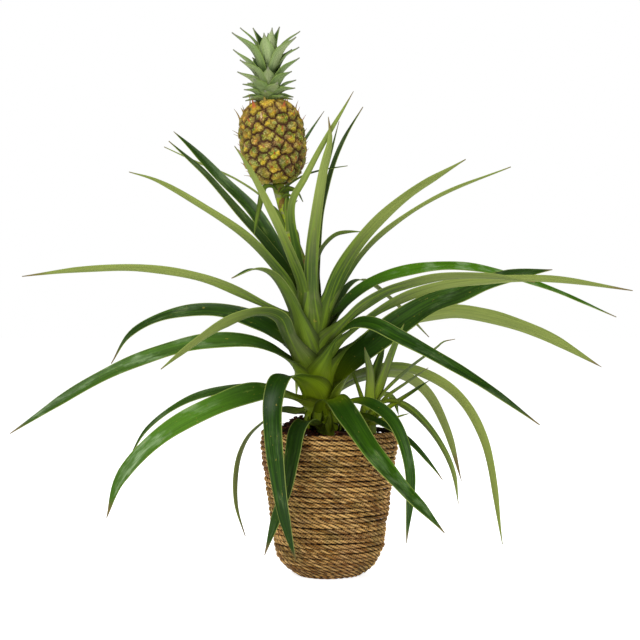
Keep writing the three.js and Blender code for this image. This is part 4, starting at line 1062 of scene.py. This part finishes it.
def bract_finish(settings):
    """Dry tips, gold at the foot and dark at the point, some of them pale or green."""
    graph = Finish("dry bract", 0.6, 0.3)
    t = graph.parts(graph.vector("bract_place"))[0]
    pale = graph.number("bract_pale")
    fine = graph.group("Mottle", Size=0.003)["Fine"]
    skin = graph.coats(
        settings.gold,
        (graph.ramp(t, 0.1, 0.55), settings.bract),
        (graph.ramp(t, 0.6, 1, 0, 0.75), settings.seam),
        (graph.ramp(pale, 0.93, 0.95, 0, 0.8), paint(222, 196, 160)),
        (graph.ramp(pale, 0.68, 0.6, 0, 0.85), paint(132, 122, 34)),
        (graph.ramp(fine, 0.35, 0.7, 0, 0.5), settings.rose),
    )
    return graph.done(skin, fine, 0.2, 0.5)


class PINEAPPLE_OT_fruit(bpy.types.Operator):
    """Form the fruit: a barrel of pointed eyes and their dry bract tips"""

    bl_idname = "pineapple.fruit"
    bl_label = "Fruit"

    def execute(self, context):
        settings = context.scene.pineapple_fruit
        eyes = fruitlets(settings.fruitlets)
        self.skin(settings, eyes)
        self.bracts(settings, eyes)
        return {"FINISHED"}

    def skin(self, settings, eyes):
        """Draws a ball's points onto the barrel and raises each eye with its scales."""
        feet, _, across, upward, along = eyes
        piece = begin(bpy.ops.mesh.primitive_uv_sphere_add, segments=270, ring_count=176, radius=1)
        count = len(feet)
        ball = points_of(piece)
        sweep = np.arccos(np.clip(-ball[:, 2], -1, 1)) / math.pi
        turn = np.arctan2(ball[:, 1], ball[:, 0])
        steps = np.linspace(0, FRUIT_LENGTH, FRUIT_STEPS)
        radii = np.concatenate([[0], fruit_radius(steps), [0]])
        heights = np.concatenate([[0], steps, [FRUIT_LENGTH]])
        run = running(np.hypot(np.diff(radii), np.diff(heights)))
        radius = np.interp(sweep * run[-1], run, radii)
        height = np.interp(sweep * run[-1], run, heights)
        spots = on_fruit(radius, turn, height)

        # Each point belongs to the nearest eye, or to the bare ends, over slightly wavy borders.
        ends = np.array([on_fruit(0, 0, 0), on_fruit(0, 0, FRUIT_LENGTH)])
        centres = np.vstack([feet, ends])
        wavy = spots + 0.9 * np.sin(spots[:, (1, 2, 0)] * 0.62 + 1.3)
        wavy += 0.55 * np.sin(spots[:, (2, 0, 1)] * 1.7)
        squares = ((wavy[:, None, :] - centres[None]) ** 2).sum(axis=2)
        nearest = squares.argmin(axis=1)
        own = squares[np.arange(len(spots)), nearest]
        gaps = np.linalg.norm(centres[:, None] - centres[None], axis=2)[nearest]
        edge = (squares - own[:, None]) / np.maximum(2 * gaps, 1e-6)
        edge[np.arange(len(spots)), nearest] = np.inf
        share = np.clip(edge.min(axis=1) / EYE_HALF, 0, 1)
        eye = np.minimum(nearest, count - 1)
        bare = nearest >= count

        off = spots - centres[nearest]
        beside = (off * across[eye]).sum(axis=1)
        above = (off * upward[eye]).sum(axis=1)
        reach = np.hypot(beside, above)
        angle = (np.degrees(np.arctan2(above, beside)) + SCALE_START) % 360
        sector, fold = eye_sectors(reach, angle)
        crease = np.exp(-((fold / CREASE_WIDTH) ** 2)) * ease(reach, 1.6, 3.4) * ease(share, 0.02, 0.2)
        crease = np.where(bare, 0, crease)

        draw = np.random.default_rng(11)
        puff = draw.uniform(-SCALE_PUFF, SCALE_PUFF, (count, SCALES))[eye, sector]
        puff += BRACT_PUFF * (sector == BRACT_SCALE) * (1 - share)
        relief = settings.rise / MM * (0.7 * ease(share, 0, 0.42) + 0.3 * np.sin(share * math.pi / 2))
        relief += puff * ease(share, 0.05, 0.35) - CREASE_DEPTH * crease
        relief = np.where(bare, END_RELIEF, relief)
        lean = np.interp(height, steps, np.gradient(fruit_radius(steps), steps))
        outward = unit(out_of_fruit(turn) - FRUIT_AXIS * lean[:, None])
        rim = np.where(height > FRUIT_LENGTH / 2, fruit_radius(FRUIT_LENGTH), fruit_radius(0.0))
        on_end = (radius < rim * 0.99)[:, None]
        outward = np.where(on_end, np.sign(height - 1)[:, None] * FRUIT_AXIS, outward)
        put_points(piece, spots + outward * relief[:, None])

        top = (along / FRUIT_LENGTH)[:, None]
        ripe = draw.uniform(-0.1, 0.95, (count, SCALES)) + 0.3 * (top - 0.5) + 0.7 * ease(top, 0.76, 0.95)
        ripe = np.clip(ripe, 0, 1)
        ripe[:, BRACT_SCALE] = np.clip(ripe[:, BRACT_SCALE] + 0.2, 0, 1)
        waxy = draw.uniform(0, 1, (count, SCALES)) ** 1.5
        rosy = draw.uniform(0, 1, (count, SCALES)) ** 2.2
        waxy[:, BRACT_SCALE] *= 0.4
        mark(piece, "eye", np.column_stack([share, reach, crease]))
        mark(piece, "eye_tint", np.column_stack([table[eye, sector] for table in (ripe, waxy, rosy)]))
        mark(piece, "eye_shade", draw.uniform(0.66, 1.36, (count, SCALES))[eye, sector])
        settle(piece, "fruit_eyes", fruit_finish(settings), "fruit", "fruit", crease=60)

    def bracts(self, settings, eyes):
        """Lays a thin pointed tip over the foot of each eye."""
        feet, normal, across, upward, along = eyes
        pattern = begin(bpy.ops.mesh.primitive_grid_add, x_subdivisions=4, y_subdivisions=7, size=2)
        grid = points_of(pattern)
        nothing = np.zeros(len(grid))
        mark(pattern, "bract_place", np.column_stack([(grid[:, 1] + 1) / 2, nothing, nothing]))
        modify(pattern, "SOLIDIFY", thickness=0.12, offset=-1)
        form = points_of(pattern)
        place = np.empty(len(form) * 3, np.float32)
        pattern.data.attributes["bract_place"].data.foreach_get("vector", place)
        t = place.reshape(-1, 3)[:, 0].astype(float)
        repeat(pattern, len(feet))
        draw = np.random.default_rng(29)
        spots, pale = [], []
        for number, foot in enumerate(feet):
            top = along[number] / FRUIT_LENGTH
            longer = 1.0 + draw.random() ** 2 * (2.2 if top > 0.6 else 0.5) + 0.6 * (top > 0.8)
            reach = draw.uniform(1.6, 3.6) * longer
            lift = draw.uniform(2.0, 3.8) * longer
            lean = draw.uniform(-1.6, 1.6)
            width = draw.uniform(1.0, 1.7) * longer
            half = width * (1 - t) ** 0.75 * (1 - 0.25 * np.exp(-((t / 0.2) ** 2)))
            forward = t * (BRACT_TUCK + reach) - BRACT_TUCK
            bulge = settings.rise / MM * (0.88 - 0.1 * (1 - t)) + lift * t**1.8 + 0.3
            fold = 0.35 * half * np.abs(form[:, 0])
            spots.append(
                foot + across[number] * (form[:, 0] * half + lean * t**1.5)[:, None]
                + upward[number] * forward[:, None]
                + normal[number] * (bulge - fold + form[:, 2] * 4)[:, None]
            )
            pale.append(np.full(len(t), draw.random()))
        put_points(pattern, np.vstack(spots))
        mark(pattern, "bract_pale", np.concatenate(pale))
        settle(pattern, "fruit_bract_tips", bract_finish(settings), "fruit", "fruit", crease=60)


def crown_finish(settings):
    """Powdery grey-green outside with faint stripes, dark green inside."""
    graph = Finish("crown leaf", 0.5, 0.4)
    s, t, _ = graph.parts(graph.vector("blade_place"))
    tone = graph.parts(graph.vector("blade_look"))[0]
    under = graph.number("blade_side")
    streaks, bands, _ = graph.group("Fibres", Place=graph.vector("blade_grain"), Fineness=1.3)
    across = graph.math("ABSOLUTE", s)
    bloom = graph.times(graph.ramp(t, 0, 0.3, 0.15, 1), graph.ramp(across, 0.2, 1, 1, 0.55))
    striped = graph.ramp(bands, 0.35, 0.65)
    inside = graph.coats(settings.inner, (striped, settings.green), (0.6, settings.inner))
    outside = graph.coats(settings.green, (bloom, settings.bloom), (graph.times(tone, 0.45), settings.green))
    skin = graph.coats(
        graph.mix(under, inside, outside),
        (graph.ramp(t, 0.34, 0.12, 0, 0.75), settings.inner),
        (graph.ramp(streaks, 0.42, 0.66, 0, 0.45), settings.inner),
        (graph.ramp(across, 0.8, 1, 0, 0.4), paint(140, 158, 72)),
        (graph.times(graph.ramp(t, 0.8, 0.97), 0.7), settings.tip),
    )
    return graph.done(skin, streaks, 0.25, 0.6, graph.math("MULTIPLY_ADD", under, 0.12, 0.42))


def crown_leaf_taper(t):
    """Broad at its foot, then drawn out to a slender point."""
    return 0.9 * (1 - ease(t, 0.48, 1.03)) * (0.8 + 0.2 * ease(t, 0, 0.35)) + 0.1 * (1 - t)


class PINEAPPLE_OT_crown(bpy.types.Operator):
    """Grow the crown of short leaves on the fruit"""

    bl_idname = "pineapple.crown"
    bl_label = "Crown"

    def execute(self, context):
        settings = context.scene.pineapple_crown
        core = [(*(CROWN_FOOT + (0, 0, up)), radius) for up, radius in CROWN_CORE]
        pieces = [drawn_tube(core, 24, (0.9, 0.0, 0.0), 1)]
        draw = np.random.default_rng(5)
        for number, (azimuth, foot, width, bend, tip) in enumerate(CROWN_LEAVES):
            way = heading(azimuth)
            low = CROWN_FOOT + way * CROWN_INSET + (0, 0, max(foot - CROWN_DEPTH, 0.8))
            points = [low] + [CROWN_FOOT + way * out + (0, 0, up) for out, up in (bend, tip)]
            look = (draw.uniform(0.0, 1.0), 0.5, 0.5)
            pieces.append(blade(points, azimuth, width * CROWN_BREADTH, look,
                                thickness=settings.thickness / MM, taper=crown_leaf_taper, stations=30,
                                across=8, open_angle=0.62, seed=90 + number))
        settle(join(pieces), "crown_leaves", crown_finish(settings), "crown", "crown")
        return {"FINISHED"}


def basket_radius(z):
    foot = BASKET_FOOT_TUCK * np.maximum(0, 1 - z / BASKET_FOOT_HEIGHT) ** BASKET_FOOT_CURVE
    tuck = BASKET_RIM_TUCK * (np.maximum(0, z - BASKET_SHOULDER) / (BASKET_HEIGHT - BASKET_SHOULDER)) ** 2
    return BASKET_LOW_RADIUS + BASKET_FLARE * z - foot - tuck


def rope_finish(settings):
    """Twisted seagrass: straw, brown and dark strands with olive and red-brown stretches, painted shade in
    the grooves between plies and rows, and painted pale highlights along the fibres.
    """
    graph = Finish("seagrass", 0.62, 0.15)
    dent, strand, lot = graph.parts(graph.vector("rope_look"))
    streaks, bands, _ = graph.group("Fibres", Place=graph.vector("rope_place"), Fineness=0.75)
    broad, middle, _ = graph.group("Mottle", Size=0.03)
    skin = graph.coats(
        settings.brown,
        (graph.ramp(graph.vary(bands, strand, 1.1), 0.3, 0.62), settings.straw),
        (graph.ramp(lot, 0.62, 0.95, 0, 0.45), settings.umber),
        (graph.ramp(middle, 0.5, 0.66, 0, 0.5), settings.olive),
        (graph.ramp(broad, 0.56, 0.68, 0, 0.3), paint(150, 84, 56)),
        (graph.ramp(streaks, 0.5, 0.66, 0, 0.8), settings.umber),
        # Painted highlights: pale cream streaks along the fibres.
        (graph.ramp(streaks, 0.48, 0.36, 0, 0.5), paint(255, 226, 168)),
        # Painted shade: the gap colour darkens the grooves between plies and the crevices between rows.
        (graph.ramp(dent, 0.85, 0.26, 0, 0.98), settings.gap),
    )
    return graph.done(skin, streaks, 0.5, 0.9)


def waves(table, theta, row, shift=0.0):
    """Unevenness at a turn round the basket, from a table of waves."""
    return sum(size * np.sin(count * theta + step * row + shift) for size, count, step in table)


def scatter(value, factor):
    """A number from 0 to 1 that looks random and is the same each time."""
    return (np.sin(value) * factor) % 1


def rope_ring(radius, z, row, segments, sides, lay, draw):
    """One row of four-stranded rope: a torus whose section is twisted along its length."""
    ring = begin(bpy.ops.mesh.primitive_torus_add, major_radius=radius * MM, minor_radius=ROPE_RADIUS * MM,
                 major_segments=segments, minor_segments=sides)
    spots = points_of(ring) / MM
    theta = np.arctan2(spots[:, 1], spots[:, 0])
    turn = STRAND_TURN + draw.uniform(-TURN_SPREAD, TURN_SPREAD)
    from_seam = (theta + math.pi / 2 - turn + math.pi) % (2 * math.pi) - math.pi
    section = np.arctan2(spots[:, 2], np.hypot(spots[:, 0], spots[:, 1]) - radius)
    whole_twists = max(2, round(radius * math.pi / (lay * draw.uniform(*LAY_SPREAD))))
    shift = draw.uniform(0, 2 * math.pi)
    phase = whole_twists * np.hypot(from_seam, STRAND_BLEND) * 2 + shift
    local = section - phase
    dent = np.abs(np.cos(PLIES / 2 * local))
    loose = 1 + waves(ROPE_LOOSE, theta, row)
    thick = ROPE_RADIUS * (np.maximum(DEEPEST_DENT, dent**0.5) * ROPE_SWELL * loose)
    out = radius + waves(ROPE_WANDER, theta, row, shift) + thick * np.cos(section)
    up = z + waves(ROPE_RISE, theta, row, shift) + thick * np.sin(section)
    x, y = BASKET_ASIDE + out * np.cos(theta), out * np.sin(theta)
    put_points(ring, np.column_stack([x, y, np.maximum(up, BASKET_LIFT)]))

    arc = radius * (theta + math.pi)
    lobe = np.rint((local + math.pi) * PLIES / (2 * math.pi))
    strand = scatter((lobe + np.floor(section * PLIES / 20)) * 12.9898 + row * 78.233, 43758.5453)
    lot = scatter(np.floor(arc / LOT_LENGTH) * 4.1 + row * 19.19, 9631.7)
    # Painted shade: how deep a point lies in a ply groove or in the crevice between rows, for the finish to
    # darken.
    crevice_shade = ease(np.cos(section), *CREVICE_SHADE)
    mark(ring, "rope_look", np.column_stack([dent * crevice_shade, strand, lot]))
    grain = (local * 2.4 + 9 * (lobe % PLIES), arc * 1.2, np.full(len(arc), row * 7.0))
    mark(ring, "rope_place", np.column_stack(grain))
    return ring


class PINEAPPLE_OT_basket(bpy.types.Operator):
    """Coil the rope basket row by row"""

    bl_idname = "pineapple.basket"
    bl_label = "Basket"

    def execute(self, context):
        settings = context.scene.pineapple_basket
        draw = np.random.default_rng(3)
        lay = settings.lay / MM
        levels = np.linspace(ROPE_RADIUS, BASKET_HEIGHT - ROPE_RADIUS, BASKET_STEPS)
        radii = basket_radius(levels) + ROPE_STANDOUT - ROPE_RADIUS
        run = running(np.hypot(np.diff(radii), np.diff(levels)))
        rings = []
        for row in range(settings.rows):
            at = run[-1] * row / (settings.rows - 1)
            level, radius = np.interp(at, run, levels), np.interp(at, run, radii)
            rings.append(rope_ring(radius, level, row, 180, 16, lay, draw))
        inner = radii[0] - ROPE_STEP
        while inner > ROPE_SMALLEST:
            rings.append(rope_ring(inner, ROPE_RADIUS + BASKET_LIFT, 50 + inner, 96, 8, lay, draw))
            inner -= ROPE_STEP
        settle(join(rings), "rope_basket", rope_finish(settings), "seagrass", "basket", crease=60)
        return {"FINISHED"}


def plastic_finish():
    graph = Finish("grow pot plastic", 0.42, 0.5)
    _, middle, fine = graph.group("Mottle", Size=0.012)
    skin = graph.mix(middle, paint(26, 26, 27), paint(44, 42, 40))
    return graph.done(skin, roughness=graph.ramp(fine, 0.2, 0.8, 0.36, 0.55))


class PINEAPPLE_OT_grow_pot(bpy.types.Operator):
    """Give the thin grow pot inside the basket its dark plastic"""

    bl_idname = "pineapple.grow_pot"
    bl_label = "Grow pot"

    def execute(self, context):
        pot = bpy.data.objects["grow_pot"]
        pot.data.materials.clear()
        pot.data.materials.append(plastic_finish())
        return {"FINISHED"}


def soil_top(x, y):
    edge = ((x**2 + y**2) / SOIL_RADIUS**2) ** 3
    off = (x - SOIL_HEAP_SPOT[0]) ** 2 + (y - SOIL_HEAP_SPOT[1]) ** 2
    rough = sum(share * np.sin(a * x + b * y + start) for a, b, start, share in SOIL_WAVES)
    return SOIL_LEVEL + (SOIL_HEAP * np.exp(-off / SOIL_HEAP_SPREAD) + 0.9 * rough) * (1 - edge)


def soil_finish(settings):
    graph = Finish("potting mix", 0.9, 0.2)
    _, middle, fine = graph.group("Mottle", Size=0.004)
    skin = graph.coats(
        settings.peat,
        (graph.ramp(middle, 0.45, 0.7), settings.bark),
        (graph.ramp(fine, 0.3, 0.7, 0.5, 0), paint(20, 13, 10)),
    )
    return graph.done(skin, fine, 1.5)


def chip_finish(settings):
    graph = Finish("bark chip", 0.8, 0.25)
    kind = graph.number("chip_kind")
    _, middle, fine = graph.group("Mottle", Size=0.0025)
    skin = graph.coats(
        settings.peat,
        (graph.ramp(middle, 0.3, 0.7), settings.bark),
        (graph.ramp(kind, 0.1, 0.6, 0.75, 0), settings.peat),
        (graph.ramp(kind, 0.97, 0.99), settings.grain),
    )
    return graph.done(skin, fine, 0.6, 0.8)


def turned(points, axis, angle):
    """Points turned about one of the main axes."""
    a, b = (axis + 1) % 3, (axis + 2) % 3
    result = points.copy()
    result[:, a] = points[:, a] * math.cos(angle) - points[:, b] * math.sin(angle)
    result[:, b] = points[:, a] * math.sin(angle) + points[:, b] * math.cos(angle)
    return result


class PINEAPPLE_OT_soil(bpy.types.Operator):
    """Fill the pot with potting mix, bark chips and grains"""

    bl_idname = "pineapple.soil"
    bl_label = "Potting mix"

    def execute(self, context):
        settings = context.scene.pineapple_soil
        self.bed(settings)
        self.scraps(settings)
        return {"FINISHED"}

    def bed(self, settings):
        """Draws a square grid out to a disc with a heap and gives it a flat underside."""
        bed = begin(bpy.ops.mesh.primitive_grid_add, x_subdivisions=110, y_subdivisions=110, size=2)
        bpy.ops.object.mode_set(mode="EDIT")
        bpy.ops.mesh.select_all(action="SELECT")
        bpy.ops.mesh.region_to_loop()
        bpy.ops.mesh.extrude_region_move(TRANSFORM_OT_translate={"value": (0, 0, -1)})
        bpy.ops.mesh.edge_face_add()
        face_outwards()
        grid = points_of(bed)
        u, v = np.clip(grid[:, 0], -1, 1), np.clip(grid[:, 1], -1, 1)
        x = u * np.sqrt(1 - v**2 / 2) * SOIL_RADIUS
        y = v * np.sqrt(1 - u**2 / 2) * SOIL_RADIUS
        lumps = 0.5 * np.sin(1.1 * x + 0.7 * y) * np.sin(0.8 * x - 1.3 * y)
        lumps += 0.35 * np.sin(2.1 * x) * np.sin(1.9 * y)
        low = grid[:, 2] < -0.5
        z = np.where(low, SOIL_LEVEL - SOIL_DEPTH, soil_top(x, y) + lumps)
        inward = np.where(low, SOIL_FOOT, 1)
        put_points(bed, np.column_stack([x * inward, y * inward, z]))
        settle(bed, "potting_mix_bed", soil_finish(settings), "potting_mix", "soil", crease=60)

    def scraps(self, settings):
        """Strews bark chips, and a pale grain for each nineteenth of them."""
        pattern = begin(bpy.ops.mesh.primitive_cube_add, size=2)
        modify(pattern, "BEVEL", width=0.5, segments=1)
        form = points_of(pattern)
        draw = np.random.default_rng(17)
        chips, kinds = [], []
        while len(chips) < settings.chips:
            x, y = draw.uniform(-SOIL_RADIUS, SOIL_RADIUS, 2)
            if math.hypot(x, y) > SOIL_RADIUS - CHIP_MARGIN or math.hypot(x + 1, y) < STEM_CLEAR:
                continue
            grain = len(chips) % GRAIN_EVERY == 0
            size = draw.uniform(0.5, 0.9, 3) if grain else draw.uniform((1.0, 0.8, 0.35), (3.8, 2.2, 1.1))
            spots = (form + draw.normal(0, CHIP_ROUGH, form.shape)) * size
            for axis, tilt in ((0, 0.5), (1, 0.5), (2, math.pi)):
                spots = turned(spots, axis, draw.uniform(-tilt, tilt))
            chips.append(spots + (x, y, soil_top(x, y) + draw.uniform(0.1, 1.2)))
            kinds.append(np.full(len(spots), 1.0 if grain else draw.uniform(0, 0.9)))
        repeat(pattern, settings.chips)
        put_points(pattern, np.vstack(chips))
        mark(pattern, "chip_kind", np.concatenate(kinds))
        settle(pattern, "bark_chips", chip_finish(settings), "potting_mix", "soil", crease=None)


class PINEAPPLE_OT_stage(bpy.types.Operator):
    """Lay the pale floor, light the plant softly and set the camera"""

    bl_idname = "pineapple.stage"
    bl_label = "Studio"

    def execute(self, context):
        settings = context.scene.pineapple_stage
        floor = begin(bpy.ops.mesh.primitive_plane_add, size=40, location=(0, 0, 0))
        floor.name = "floor"
        graph = Finish("floor", 0.9, 0.1)
        seen = graph.add("ShaderNodeLightPath").outputs["Is Camera Ray"]
        graph.feed(graph.shader["Emission Color"], graph.mix(seen, (0.35, 0.35, 0.35), (1.0, 1.0, 1.0)))
        graph.feed(graph.shader["Emission Strength"], settings.glow)
        pale = graph.mix(graph.noise(graph.place(), 0.4, 2), settings.floor, paint(238, 238, 238))
        floor.data.materials.append(graph.done(pale))

        # The room's even light, dimmer in reflections and plain white behind the plant.
        world = bpy.data.worlds.new("room")
        context.scene.world = world
        world.use_nodes = True
        graph = Graph(world.node_tree)
        light = graph.nodes["Background"].inputs
        light["Color"].default_value = (1, 1, 1, 1)
        ray = graph.add("ShaderNodeLightPath").outputs
        dim = graph.math("MULTIPLY_ADD", ray["Is Glossy Ray"], -0.7 * settings.sky, settings.sky)
        graph.feed(light["Strength"], graph.math("MAXIMUM", dim, ray["Is Camera Ray"]))
        context.scene.view_settings.view_transform = "Standard"

        for name, place, share, size in LAMPS:
            bpy.ops.object.light_add(type="AREA", location=place)
            lamp = context.object
            lamp.name = name
            lamp.data.energy = settings.key * share
            lamp.data.size = size
            lamp.visible_glossy = name != "back"
            x, y, z = np.array(LAMP_TARGET) - np.array(place)
            lamp.rotation_euler = (math.atan2(math.hypot(x, y), -z), 0, math.atan2(y, x) - math.pi / 2)

        bpy.ops.object.camera_add(location=CAMERA_PLACE, rotation=(math.pi / 2, 0, 0))
        camera = context.object
        camera.data.lens = CAMERA_LENS
        camera.data.sensor_width = 36
        context.scene.camera = camera
        return {"FINISHED"}


class PINEAPPLE_PT_panel(bpy.types.Panel):
    """Lists the pieces of the plant"""

    bl_idname = "PINEAPPLE_PT_panel"
    bl_label = "Pineapple plant"
    bl_space_type = "VIEW_3D"
    bl_region_type = "UI"
    bl_category = "Pineapple"

    def draw(self, context):
        for name, settings in SETTINGS.items():
            box = self.layout.box()
            for field in settings.__annotations__:
                box.prop(getattr(context.scene, name), field)
        for operator in OPERATORS:
            self.layout.operator(operator.bl_idname)


OPERATORS = (
    PINEAPPLE_OT_leaves,
    PINEAPPLE_OT_stem,
    PINEAPPLE_OT_side_shoot,
    PINEAPPLE_OT_fruit,
    PINEAPPLE_OT_crown,
    PINEAPPLE_OT_basket,
    PINEAPPLE_OT_grow_pot,
    PINEAPPLE_OT_soil,
    PINEAPPLE_OT_stage,
)


def register():
    for cls in (*SETTINGS.values(), *OPERATORS, PINEAPPLE_PT_panel):
        bpy.utils.register_class(cls)
    for name, settings in SETTINGS.items():
        setattr(bpy.types.Scene, name, PointerProperty(type=settings))


def unregister():
    for name in SETTINGS:
        delattr(bpy.types.Scene, name)
    for cls in reversed((*SETTINGS.values(), *OPERATORS, PINEAPPLE_PT_panel)):
        bpy.utils.unregister_class(cls)


def main():
    register()
    for operator in OPERATORS:
        family, name = operator.bl_idname.split(".")
        if getattr(getattr(bpy.ops, family), name)() != {"FINISHED"}:
            raise RuntimeError("stopped at " + operator.bl_label)


if __name__ == "__main__":
    main()
